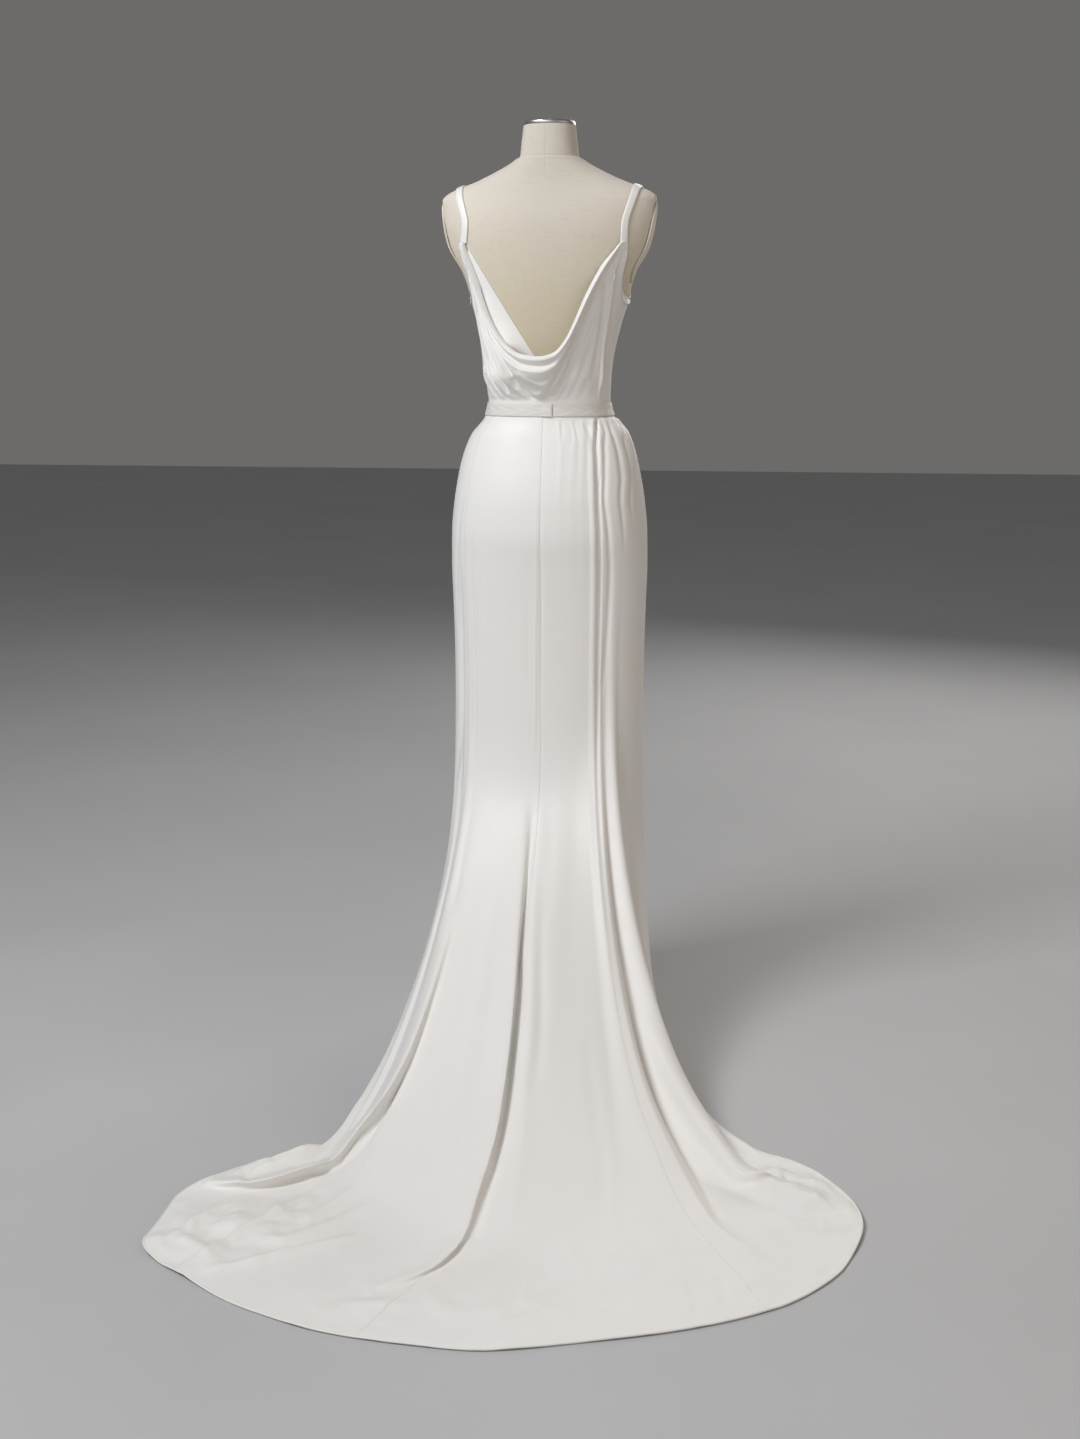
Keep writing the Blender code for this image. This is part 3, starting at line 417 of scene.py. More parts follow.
# Rows where the skirt is evened out round the knee and the floor, and how many times. The way that
# its folds stand out is evened down the flare, and its seams end on the floor.
KNEE_ROWS = (0.62, 0.95, 1.20, 1.75)
KNEE_EVENING = 260
FLOOR_ROWS = (1.72, 1.92, 2.10, 2.35)
FLOOR_EVENING = 160
AWAY_ROWS = (1.50, 1.85)
AWAY_EVENING = 40
SEAM_ROWS = (2.6, 2.1)

GORES = {
    "skirt_back_left": (0, 52),
    "skirt_side_left": (52, 102),
    "skirt_front": (102, 258),
    "skirt_side_right": (258, 328),
    "skirt_back_right": (328, 360),
}
HEM_RADIUS = 0.0016
CORD_SIDES = 8

# Rolled edges of the bodice
ROLL_FROM = 0.0025
ROLL_LARGEST = 0.0070
ROLL_SMALLEST = 0.0009
ROLL_TURN = 190.0
ROLL_STEPS = 9
ROLL_TAIL = (0.003, 0.007, 0.011)

# Straps: their route over the shoulder, width and thickness
STRAP_ROUTE = table("x y z", (
    (0.144, -0.068, 1.42),
    (0.153, -0.052, 1.46),
    (0.158, -0.025, 1.486),
    (0.159, 0.005, 1.492),
    (0.158, 0.035, 1.486),
    (0.154, 0.062, 1.46),
    (0.147, 0.08, 1.425),
))
STRAP_WIDTH = 0.0145
STRAP_THICK = 0.0021
STRAP_SEAT = 0.0013
STRAP_FRONT_ANGLE = 131.5
STRAP_FRONT_END = 1.3724
STRAP_BACK_ANGLES = {"strap_left": 50.2, "strap_right": 47.8}
STRAP_BACK_END = 1.3854

# The form
NECK_SEAM = 1.5365
BACK_SEAM_BOTTOM = 1.500
PLATE_HEIGHT = 1.388
PLATE_HALF_TALL = 0.071
PLATE_HALF_DEEP = 0.033
PLATE_MIDDLE = 0.003
PLATE_GAP = 0.0006
PLATE_THICK = 0.0030
PLATE_PROFILE = ((0.02, 1), (0.4, 1), (0.8, 0.97), (0.93, 0.9), (0.975, 0.65), (0.99, 0.3), (0.99, 0), (0.6, 0),
                 (0.02, 0))
PIPING_RADIUS = 0.0011
NECK_REACH = 0.047
BASE_RADIUS = 0.130
BASE_THICK = 0.012
POLE_RADIUS = 0.0125

# Edges of the base, the cap and its knob: how far out and how high each step is
BASE_EDGE = ((-0.003, 0), (-0.0008, 0.0009), (0, 0.003), (0, 0.008), (-0.0015, 0.0103), (-0.006, BASE_THICK),
             (-0.1, BASE_THICK))
CAP_EDGE = ((-0.0006, 0.0003), (-0.0002, 0.0012), (-0.0002, 0.0048), (-0.0012, 0.0066), (-0.003, 0.0073),
            (-0.02, 0.0073))
CAP_KNOB = ((0.0042, 0.007), (0.0042, 0.0082), (0.0026, 0.0088), (0.0026, 0.01), (0.004, 0.0108),
            (0.004, 0.0122), (0.0024, 0.013))

# Looks
# Grey mixed in patches into the cloth that lies on the floor
FLOOR_GREY = (0.66, 0.655, 0.645)
RIB_PITCH = 0.0011
THREAD_PITCH = 0.0009
FLOOR_HALF = 14.0


def smooth(knots, values, at):
    """A curve through the knots that never overshoots them."""
    at = np.asarray(at, float)
    step = np.diff(knots)
    slope = np.diff(values) / step
    tangent = np.zeros(len(knots))
    tangent[0] = slope[0]
    tangent[-1] = slope[-1]
    rising = slope[:-1] * slope[1:] > 0
    first = 2 * step[1:] + step[:-1]
    second = step[1:] + 2 * step[:-1]
    safe = np.where(rising, slope[:-1] * slope[1:], 1.0)
    weights = np.where(rising, first * slope[1:] + second * slope[:-1], 1.0)
    tangent[1:-1] = np.where(rising, (first + second) * safe / weights, 0.0)
    place = np.clip(np.searchsorted(knots, at) - 1, 0, len(step) - 1)
    share = np.clip((at - knots[place]) / step[place], 0, 1)
    square = share * share
    cube = square * share
    return (
        (2 * cube - 3 * square + 1) * values[place]
        + (cube - 2 * square + share) * step[place] * tangent[place]
        + (3 * square - 2 * cube) * values[place + 1]
        + (cube - square) * step[place] * tangent[place + 1]
    )


def read(rows, name, at):
    """A table's named column as a smooth curve over its first column."""
    return smooth(next(iter(rows.values())), rows[name], at)


def ease(low, high, at):
    """From 0 at low to 1 at high, with soft ends."""
    share = np.clip((np.asarray(at, float) - low) / (high - low), 0, 1)
    return share * share * (3 - 2 * share)


def band(places, at):
    """From 0 up to 1 between the first two places, and down to 0 between the last two."""
    return ease(places[0], places[1], at) * ease(places[3], places[2], at)


def unit(vectors):
    """The vectors, each one long."""
    return vectors / np.maximum(np.linalg.norm(vectors, axis=-1, keepdims=True), 1e-12)


def figure_point(angle, height, out=0.0):
    """The point of the figure's skin at this angle and height, moved out level by this much."""
    turn = np.radians(angle)
    across = np.sin(turn)
    along = np.cos(turn)
    half, behind, before = (read(FIGURE, name, height) + out for name in ("half_width", "behind", "before"))
    deep = np.where(along > 0, behind, before)
    power = 2 / FIGURE_POWER
    x = half * np.sign(across) * np.abs(across) ** power
    y = deep * np.sign(along) * np.abs(along) ** power
    return np.stack(np.broadcast_arrays(x, y, height), axis=-1)


def wrap(column):
    """The column within half a turn of the middle of the back."""
    return (column + 180) % 360 - 180


def skirt_base(column, row):
    """The skirt without its folds: down the figure, out in the flare and along the floor."""
    wrapped = wrap(column)
    leave = read(TRAIN, "leave", wrapped)
    touch, hem = (np.stack([read(TRAIN, line + axis, wrapped) for axis in "xy"], -1) for line in ("floor_", "hem_"))
    height = SKIRT_TOP + (leave - SKIRT_TOP) * np.clip(row, 0, 1)
    angle = wrapped + (read(WAIST_COLUMNS, "angle", wrapped) - wrapped) * ease(*GATHERED, height)
    clear = CLOTH + SKIRT_CLEAR - (SKIRT_CLEAR - BODICE_CLEAR) * ease(*FITTED, height)
    on_figure = figure_point(angle, height, clear)
    start = figure_point(wrapped, leave, CLOTH + SKIRT_CLEAR)
    fall = start[..., 2:] - FLOOR_CLOTH
    spread = 1 - read(TRAIN, "hold", wrapped)[..., None]
    ground = np.full_like(fall, FLOOR_CLOTH)
    far = start[..., :2] + FLARE_REACH * (touch - start[..., :2])
    second = np.concatenate([start[..., :2], ground + spread * fall], -1)
    third = np.concatenate([far, ground + FLARE_LOW * spread * fall], -1)
    last = np.concatenate([touch, ground], -1)
    share = np.clip(row - 1, 0, 1)[..., None]
    left = 1 - share
    flare = left**3 * start + 3 * left**2 * share * second + 3 * left * share**2 * third + share**3 * last
    place = row[..., None]
    on_floor = np.concatenate([touch + (hem - touch) * (place - 2), ground], -1)
    return np.where(place <= 1, on_figure, np.where(place <= 2, flare, on_floor))


def skirt_rise(column, row):
    """How far the folds move the skirt out."""
    wrapped = wrap(column)
    rise = np.zeros(np.broadcast(column, row).shape)
    lean = read(PLEAT_LEAN, "columns", row)
    for fold in FOLDS:
        depths = np.array([0.0, 0.0] + [fold[name] for name in FOLD_PLACES])
        depth = smooth(FOLD_AT, depths, row) / 1000
        share = np.interp(fold["column"], PLEAT_SHARE["column"], PLEAT_SHARE["share"])
        apart = np.clip(np.abs(wrapped - fold["column"] - lean * share) / fold["half_width"], 0, 1)
        rise += depth * (0.5 + 0.5 * np.cos(math.pi * apart))
    return rise


def grid_normals(points):
    """Unit normals of a grid of points that wraps round, rows down and columns across."""
    wide = np.concatenate([points[:, -3:-1], points, points[:, 1:3]], axis=1)
    over = np.gradient(wide, axis=1)[:, 2:-2]
    return unit(np.cross(over, np.gradient(points, axis=0)))


def blur(values, times):
    """The grid of values evened out down its rows, with its first and last row kept."""
    for _ in range(times):
        evened = 0.25 * values[:-2] + 0.5 * values[1:-1] + 0.25 * values[2:]
        values = np.concatenate([values[:1], evened, values[-1:]])
    return values


def beside_path(points, surface, path, half_width):
    """Which points of a grid are near a path, how strongly each feels it, and the path's heading there."""
    places = np.array(path, float)
    knots = np.arange(len(places), dtype=float)
    fine = np.linspace(0, knots[-1], PATH_STEPS * (len(places) - 1) + 1)
    line = surface(*(smooth(knots, places[:, part], fine) for part in range(2)))
    headings = unit(np.gradient(line, axis=0))
    reach = 3 * half_width
    near = np.all((points > line.min(axis=0) - reach) & (points < line.max(axis=0) + reach), axis=-1)
    spots = points[near]
    best = np.full(len(spots), 9.0)
    share = np.zeros(len(spots))
    for step in range(len(line) - 1):
        start = line[step]
        run = line[step + 1] - start
        along = np.clip((spots - start) @ run / max(run @ run, 1e-12), 0, 1)
        apart = np.linalg.norm(spots - start - along[:, None] * run, axis=-1)
        closer = apart < best
        best = np.where(closer, apart, best)
        share = np.where(closer, step + along, share)
    steps = np.arange(len(line))
    heading = np.stack([np.interp(share, steps, headings[:, axis]) for axis in range(3)], -1)
    taper = np.sin(math.pi * np.clip(share / steps[-1], 0, 1)) ** PATH_TAPER
    return near, np.exp(-((best / half_width) ** 2)) * taper, heading


def crease_rise(points, surface, creases):
    """How far soft creases move each point of a grid: a trough or ridge along each path."""
    rise = np.zeros(points.shape[:-1])
    for path, half_width, depth in creases:
        near, strength, _ = beside_path(points, surface, path, half_width / 1000)
        rise[near] += depth / 1000 * strength
    return rise


def fold_over(points, away, surface, folds):
    """How far the folds that lean over move each point of a grid, up and to the side of their paths."""
    moved = np.zeros(points.shape)
    for path, half_width, height, lean in folds:
        near, strength, heading = beside_path(points, surface, path, half_width / 1000)
        side = unit(np.cross(away[near], heading))
        moved[near] += strength[:, None] * (away[near] * height + side * lean) / 1000
    return moved


def facets(across, along, chance):
    """Flat triangular facets of random heights from 0 to 1 that meet at creases, each about one wide."""
    heights = chance.uniform(0, 1, (FACET_CELLS, FACET_CELLS))
    across = across + FACET_SWAY * np.sin(along * 1.9 + chance.uniform(0, math.tau))
    along = along + FACET_SWAY * np.sin(across * 2.3 + chance.uniform(0, math.tau))
    column = np.floor(across).astype(int)
    row = np.floor(along).astype(int)
    over = across - column
    down = along - row
    near, beside, below, far = (
        heights[(column + right) % FACET_CELLS, (row + under) % FACET_CELLS]
        for right, under in ((0, 0), (1, 0), (0, 1), (1, 1))
    )
    upper = (1 - over) * near + (over - down) * beside + down * far
    lower = (1 - down) * near + (down - over) * below + over * far
    return np.where(over > down, upper, lower)


def crumple(column, row, points):
    """How far crumpled cloth on the floor rises: facets between creases that run in many directions."""
    wrapped = wrap(column)
    depth = np.zeros(column.shape)
    for patch in CRUMPLES:
        apart = ((wrapped - patch["column"]) / patch["column_reach"]) ** 2
        apart += ((row - patch["row"]) / patch["row_reach"]) ** 2
        depth = np.maximum(depth, patch["depth"] / 1000 * np.exp(-apart))
    chance = np.random.default_rng(CRUMPLE_SEED)
    height = np.zeros(column.shape)
    for turn, size, share in CRUMPLE_LAYERS:
        cos = math.cos(turn) / size
        sin = math.sin(turn) / size
        across = points[..., 0] * cos + points[..., 1] * sin
        along = points[..., 1] * cos - points[..., 0] * sin
        height += share * facets(across, along, chance)
    return depth * np.clip(height - CRUMPLE_CUT, 0, 1)


def seam_rise(column, points):
    """The shallow line that each seam of the skirt draws."""
    rise = np.zeros(column.shape)
    wrapped = wrap(column)
    for at, depth in SKIRT_SEAMS:
        place = int(np.argmin(np.abs(wrapped[0] - at)))
        apart = np.linalg.norm(points - points[:, place:place + 1], axis=-1)
        rise -= depth / 1000 * np.exp(-((apart / SEAM_HALF_WIDTH) ** 2))
    return rise


def wall(name, outer, inner, material):
    """A closed sheet of cloth from the grids of its two faces."""
    rows, columns = outer.shape[:2]
    count = rows * columns
    index = np.arange(count).reshape(rows, columns)
    quads = np.stack([index[:-1, :-1], index[:-1, 1:], index[1:, 1:], index[1:, :-1]], -1).reshape(-1, 4)
    rim = np.concatenate([index[0, :-1], index[:-1, -1], index[-1, :0:-1], index[:0:-1, 0]])
    ahead = np.roll(rim, -1)
    edge = np.stack([ahead, rim, rim + count, ahead + count], -1)
    faces = np.concatenate([quads, quads[:, ::-1] + count, edge])
    points = np.concatenate([outer.reshape(-1, 3), inner.reshape(-1, 3)])
    return new_object(name, points, faces, material)


def tube(name, path, radius, material, closed=False):
    """A round cord of piping or hem along a path."""
    path = np.asarray(path, float)
    along = np.gradient(path, axis=0)
    if closed:
        along[0] = path[1] - path[-2]
        path = path[:-1]
        along = along[:-1]
    along = unit(along)
    side = unit(np.cross(along, UP))
    top = np.cross(side, along)
    turn = np.arange(CORD_SIDES) * math.tau / CORD_SIDES
    spokes = side[:, None] * np.cos(turn)[:, None] + top[:, None] * np.sin(turn)[:, None]
    return stack(name, path[:, None] + spokes * radius, material, closed)


def new_object(name, points, faces, material):
    """A smooth-shaded mesh object."""
    mesh = bpy.data.meshes.new(name)
    mesh.from_pydata(np.asarray(points, float).tolist(), [], [list(map(int, face)) for face in faces])
    if enclosed(mesh) < 0:
        mesh.flip_normals()
    mesh.shade_smooth()
    mesh.set_sharp_from_angle(angle=math.radians(60))
    mesh.materials.append(material)
    made = bpy.data.objects.new(name, mesh)
    bpy.context.collection.objects.link(made)
    return made


def enclosed(mesh):
    """The volume inside a closed mesh, negative where its faces are turned in."""
    mesh.calc_loop_triangles()
    corners = np.empty(3 * len(mesh.loop_triangles), int)
    mesh.loop_triangles.foreach_get("vertices", corners)
    points = np.empty(3 * len(mesh.vertices))
    mesh.vertices.foreach_get("co", points)
    first, second, third = points.reshape(-1, 3)[corners.reshape(-1, 3)].transpose(1, 0, 2)
    return np.sum(first * np.cross(second, third)) / 6


def stack(name, rings, material, looped=False):
    """A solid from closed rings of points, one after the other, with flat ends or joined in a loop."""
    levels, around = rings.shape[:2]
    index = np.arange(levels * around).reshape(levels, around)
    if looped:
        index = np.concatenate([index, index[:1]])
    ahead = np.roll(index, -1, axis=1)
    faces = np.stack([index[:-1], ahead[:-1], ahead[1:], index[1:]], -1).reshape(-1, 4).tolist()
    if not looped:
        faces.append(index[0, ::-1].tolist())
        faces.append(index[-1].tolist())
    return new_object(name, rings.reshape(-1, 3), faces, material)


def turned(name, profile, material, steps=96):
    """A solid of revolution about the vertical axis from its profile of radius and height."""
    turn = np.arange(steps) * math.tau / steps
    rings = [np.stack([radius * np.cos(turn), radius * np.sin(turn), np.full(steps, height)], -1)
             for radius, height in profile]
    return stack(name, np.array(rings), material)


def place_piece(piece, node=None):
    """The piece rides on the object and stands for the node."""
    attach(piece, "root")
    if node:
        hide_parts(node)
    return piece


def build_skirt(material):
    """The five gores, cut from one grid so that they meet at the seams, and their rolled hems."""
    columns = runs(*SKIRT_SPANS)
    column, row = np.meshgrid(columns, runs(*SKIRT_ROWS))
    base = skirt_base(column, row)
    at_knee = band(KNEE_ROWS, row)
    base += (blur(base, KNEE_EVENING) - base) * at_knee[..., None]
    base += (blur(base, FLOOR_EVENING) - base) * band(FLOOR_ROWS, row)[..., None]
    facing_out = grid_normals(base)
    away = blur(facing_out, 3)
    away = unit(away + (blur(away, AWAY_EVENING) - away) * ease(*AWAY_ROWS, row)[..., None])
    away *= np.sign(np.sum(away * facing_out, -1, keepdims=True))
    rise = skirt_rise(column, row)
    rise += (blur(rise, KNEE_EVENING // 2) - rise) * at_knee
    rise += crease_rise(base, skirt_base, SKIRT_CREASES + HOLLOWS) + crumple(column, row, base)
    rise += seam_rise(column, base) * ease(*SEAM_ROWS, row)
    outer = base + away * rise[..., None] + fold_over(base, away, skirt_base, LEANING_FOLDS)
    outer[..., 2] = np.maximum(outer[..., 2], FLOOR_CLOTH)
    inner = outer - grid_normals(outer) * SHELL
    inner[..., 2] = np.maximum(inner[..., 2], FLOOR_GAP)
    columns = np.concatenate([columns, columns[1:] + 360])
    outer, inner = (np.concatenate([face, face[:, 1:]], axis=1) for face in (outer, inner))
    for name, (start, end) in GORES.items():
        first, last = (int(np.argmin(np.abs(columns - edge))) for edge in (start, end))
        face = outer[:, first:last + 1].copy()
        back = inner[:, first:last + 1].copy()
        for edge, beside in ((0, 1), (-1, -2)):
            side = unit(face[:, beside] - face[:, edge])
            face[:, edge] += side * SEAM_GAP / 2
            back[:, edge] += side * SEAM_GAP / 2
        gore = place_piece(wall("cloth_" + name, face, back, material), name)
        line = (face[-1] + back[-1]) / 2
        line[:, 2] = np.maximum(line[:, 2], HEM_RADIUS + 0.0001)
        hem = place_piece(tube("hem_" + name, line, HEM_RADIUS, material))


def cowl_level(x, z):
    """How low the swag through this point would hang at the middle."""
    left = x > COWL_MIDDLE
    end = np.where(left, COWL_LEFT, COWL_RIGHT)
    bend = np.where(left, COWL_LEFT_BEND, COWL_RIGHT_BEND)
    share = np.clip(np.abs((x - COWL_MIDDLE) / (end - COWL_MIDDLE)), 0, 0.999)
    least = math.sqrt(COWL_SOFT)
    soft = (np.sqrt(share**2 + COWL_SOFT) - least) / (math.sqrt(1 + COWL_SOFT) - least)
    share = np.where(left, share, soft)
    return (COWL_TOP - z) / np.maximum(1 - share**bend, 1e-3), share


def back_place(column, row):
    """The back bodice's angle, height and distance off the skin: fitted at the waist, in swags above."""
    top_angle = read(BACK_EDGE, "angle", column)
    top = read(BACK_EDGE, "height", column)
    angle = column + (top_angle - column) * np.clip(row, 0, 1) ** 1.2
    height = BODICE_BOTTOM + (top - BODICE_BOTTOM) * row
    level, share = cowl_level(figure_point(angle, height)[..., 0], height)
    edge_level, _ = cowl_level(figure_point(top_angle, top)[..., 0], top)
    between = (column > COWL_ENDS[0]) & (column < COWL_ENDS[1])
    near = np.exp(-np.maximum(level - edge_level, 0) / COWL_FADE)
    level = np.where(between, level * (1 + (COWL_LEVEL / edge_level - 1) * near), level)
    smooth_panel = ease(*PANEL_LEVELS, level) * ease(*PANEL_COLUMNS, column)
    rise = read(COWL_FOLDS, "rise", level) * (0.35 + 0.65 * (1 - share**3)) * (1 - 0.75 * smooth_panel)
    bulge = COWL_BULGE * (1 - share**2) ** 1.5 * ease(*COWL_BELLY, height) * (1 - 0.6 * smooth_panel)
    lift = (rise * ease(*FREE_SWAGS, height) + bulge) * ease(90, 70, np.abs(column))
    over_facing = FACING_ROOM * band(FACING_COLUMNS, column) * ease(*FREE_FACING, height)
    return angle, height, CLOTH + BODICE_CLEAR + lift + over_facing


def front_place(column, row):
    """The front bodice's angle, height and distance off the skin."""
    mirrored = 180 - np.abs(180 - column)
    height = BODICE_BOTTOM + (read(FRONT_EDGE, "height", mirrored) - BODICE_BOTTOM) * row
    bust = BUST_EASE * ease(*BUST_HEIGHTS, height) * ease(*BUST_COLUMNS, mirrored)
    return column, height, CLOTH + BODICE_CLEAR + bust


def roll_radius(out):
    """How large the turned edge may be where the cloth stands this far off the skin."""
    return np.clip((out - ROLL_FROM) / 2, ROLL_SMALLEST, ROLL_LARGEST)


def rolled(face, back, radius):
    """Both faces of a panel with its top edge turned over a soft roll and down behind."""
    up = unit(face[-1] - face[-2])
    out = unit(face[-1] - back[-1])
    up = unit(up - out * np.sum(up * out, -1, keepdims=True))
    radius = radius[:, None]
    centre = face[-1] - out * radius
    outer_rows = []
    inner_rows = []
    for turn in np.radians(np.linspace(0, ROLL_TURN, ROLL_STEPS)[1:]):
        spoke = up * math.sin(turn) + out * math.cos(turn)
        outer_rows.append(centre + spoke * radius)
        inner_rows.append(centre + spoke * (radius - BODICE_SHELL))
    down = unit(-up + out * 0.05)
    for length in ROLL_TAIL:
        outer_rows.append(outer_rows[ROLL_STEPS - 2] + down * length)
        inner_rows.append(inner_rows[ROLL_STEPS - 2] + down * length)
    return np.concatenate([face, outer_rows]), np.concatenate([back, inner_rows])


def build_bodice(material):
    """The back with its cowl and the fitted front, with rolled top edges."""
    for name, start, counts, place, creases in (
        ("bodice_back", -90, (251, 135), back_place, COWL_CREASES),
        ("bodice_front", 90, (181, 81), front_place, FRONT_CREASES),
    ):
        def plain_face(column, row, place=place):
            """The panel's face without its creases."""
            return figure_point(*place(column, row))

        column, row = np.meshgrid(np.linspace(start, start + 180, counts[0]), np.linspace(0, 1, counts[1]))
        angle, height, out = place(column, row)
        rise = crease_rise(plain_face(column, row), plain_face, creases) * ease(*FREE_CREASES, height)
        out = np.maximum(out + rise, CLOTH + 0.0004)
        face = figure_point(angle, height, out)
        back = figure_point(angle, height, out - BODICE_SHELL)
        face, back = rolled(face, back, roll_radius(out[-1]))
        piece = place_piece(wall("cloth_" + name, face, back, material), name)


def build_facing(material):
    """The turned-in edge at the wearer's left of the back opening, up from the form to the roll."""
    along, across = np.meshgrid(np.linspace(0.04, 1.0, 90), np.linspace(0, 1, 24))
    straight = FACING_TOP + (FACING_END - FACING_TOP) * along[..., None]
    height = straight[..., 1]
    edge_columns = np.linspace(1, 60, 60)
    _, edge_height, edge_out = back_place(edge_columns, np.ones(60))
    cowl_x = figure_point(read(BACK_EDGE, "angle", edge_columns), edge_height)[:, 0]
    under = np.interp(height, edge_height, cowl_x) + FACING_UNDER
    room = np.interp(height, edge_height, edge_out - 2 * roll_radius(edge_out))
    x = straight[..., 0] + (under - straight[..., 0]) * across
    share = np.clip(x / read(FIGURE, "half_width", height), -0.99, 0.99)
    angle = np.degrees(np.arcsin(share ** (FIGURE_POWER / 2)))
    lift = np.maximum(room - FACING_BELOW, 0) * ease(0, 1, across) * ease(1.0, 0.86, along)
    inner = figure_point(angle, height, FACING_SEAT + lift)
    outer = figure_point(angle, height, FACING_SEAT + SHELL + lift)
    piece = place_piece(wall("cloth_cowl_facing", outer, inner, material), "cowl_facing")


def build_waistband(material):
    """The band, with its end lapped over at the middle of the back."""
    turn = math.degrees(BELT_SLIT / 2 / BELT_REACH)
    start = BELT_SLIT_ANGLE + turn
    columns = np.linspace(start, start + 360 - 2 * turn, 481)
    column, height = np.meshgrid(columns, np.linspace(BELT_BOTTOM, BELT_TOP, 25))
    seat = BODICE_CLEAR + CLOTH + BELT_GAP
    off_middle = 2 * (height - BELT_BOTTOM) / (BELT_TOP - BELT_BOTTOM) - 1
    crown = BELT_THICK * (0.55 + 0.45 * (1 - off_middle**6))
    lap = BELT_LAP * ease(start + 9, start + 3, column)
    ripple = BELT_RIPPLE * np.sin(column / 3.1 + 2 * np.sin(height * 420)) * (1 - off_middle**4)
    inner = figure_point(column, height, seat)
    outer = figure_point(column, height, seat + crown + lap + ripple)
    piece = place_piece(wall("cloth_waistband", outer, inner, material), "waistband")


def build_straps(torso, material):
    """Flat satin straps over the shoulders, with a rounded face and edges."""
    front = figure_point(STRAP_FRONT_ANGLE, STRAP_FRONT_END)
    knots = np.arange(len(STRAP_ROUTE["x"]) + 2, dtype=float)
    steps = np.linspace(0, knots[-1], 90)
    for name, side in (("strap_left", 1), ("strap_right", -1)):
        end = figure_point(STRAP_BACK_ANGLES[name], STRAP_BACK_END)
        middle = [smooth(knots, np.concatenate([[low], STRAP_ROUTE[axis], [high]]), steps)
                  for axis, low, high in zip("xyz", front, end)]
        middle = np.stack(middle, -1)
        middle[:, 0] *= side
        normals = [torso.closest_point_on_mesh(point.tolist())[2] for point in middle]
        normals = unit(blur(np.array(normals), 12))
        across = unit(np.cross(np.gradient(middle, axis=0), normals))
        outer = []
        inner = []
        for share in np.linspace(-0.5, 0.5, 13):
            beside = middle + across * STRAP_WIDTH * share
            seats = [torso.closest_point_on_mesh(point.tolist())[1] for point in beside]
            seats = blur(np.array(seats), 4) + normals * STRAP_SEAT
            inner.append(seats)
            outer.append(seats + normals * STRAP_THICK * (0.45 + 0.55 * (1 - (2 * abs(share)) ** 5)))
        faces = [np.array(face).transpose(1, 0, 2) for face in (outer, inner)]
        for face in faces:
            face[0, :, 2] = STRAP_FRONT_END
            face[-1, :, 2] = STRAP_BACK_END
        piece = place_piece(wall("cloth_" + name, *faces, material), name)


def build_form(linen, metal, paint):
    """The form's linen torso, its arm plates, neck cap, pole and base."""
    heights = runs((TORSO_END, 1.44, 149), (1.44, 1.53, 43), (1.53, 1.543, 19), (1.543, NECK_TOP, 19))
    beside_seam = np.array((0.35, 0.7, 1.1, 1.6))
    angles = np.concatenate([[0.0], beside_seam, np.linspace(2.5, 357.5, 180), 360 - beside_seam[::-1]])
    angle, height = np.meshgrid(angles, heights)
    arc = np.radians(np.abs(wrap(angle))) * NECK_REACH
    seam = -0.0009 * np.exp(-(((height - NECK_SEAM) / 0.0012) ** 2))
    seam += 0.0005 * np.exp(-(((height - NECK_SEAM + 0.0035) / 0.0025) ** 2))
    seam -= 0.0005 * np.exp(-((arc / 0.0007) ** 2)) * ease(BACK_SEAM_BOTTOM, BACK_SEAM_BOTTOM + 0.02, height)
    rings = figure_point(angle, height, seam - TORSO_INSET * ease(1.106, 1.084, height))
    limit = read(ARM_PLATE, "half_width", height)
    at_arm = height > ARM_PLATE["height"][0]
    rings[..., 0] = np.where(at_arm, np.clip(rings[..., 0], -limit, limit), rings[..., 0])
    torso = place_piece(stack("form_linen_torso", rings, linen), "form_torso")

    steps = np.linspace(0, 360, 120, endpoint=False)
    rings = [figure_point(steps, np.full(120, NECK_TOP), out) + UP * up for out, up in CAP_EDGE]
    place_piece(stack("form_cap_plate", np.array(rings), metal), "form_neck_cap")
    knob = [(radius, NECK_TOP + up) for radius, up in CAP_KNOB]
    place_piece(turned("form_cap_knob", knob, metal, 32))

    spin = np.radians(np.linspace(0, 360, 96, endpoint=False))
    for name, side in (("form_arm_plate_left", 1), ("form_arm_plate_right", -1)):
        rings = []
        for share, out in PLATE_PROFILE:
            tall = PLATE_HEIGHT + share * PLATE_HALF_TALL * np.cos(spin)
            deep = PLATE_MIDDLE + share * PLATE_HALF_DEEP * np.sin(spin)
            face = read(ARM_PLATE, "half_width", tall)
            rings.append(np.stack([side * (face + PLATE_GAP + PLATE_THICK * out), deep, tall], -1))
        place_piece(stack("linen_" + name, np.array(rings), linen), name)
        rim = np.concatenate([rings[4], rings[4][:1]])
        place_piece(tube("piping_" + name, rim, PIPING_RADIUS, linen, closed=True))

    top = BASE_THICK + SEAM_GAP
    end = TORSO_END - SEAM_GAP
    pole = [(-0.0015, top), (0, top + 0.0015), (0, end - 0.0015), (-0.0015, end)]
    pole = [(POLE_RADIUS + out, height) for out, height in pole]
    place_piece(turned("form_pole_tube", pole, metal, 64), "form_pole")
    base = [(BASE_RADIUS + out, height) for out, height in BASE_EDGE]
    place_piece(turned("form_base_disc", base, paint, 128), "form_base")
    return torso


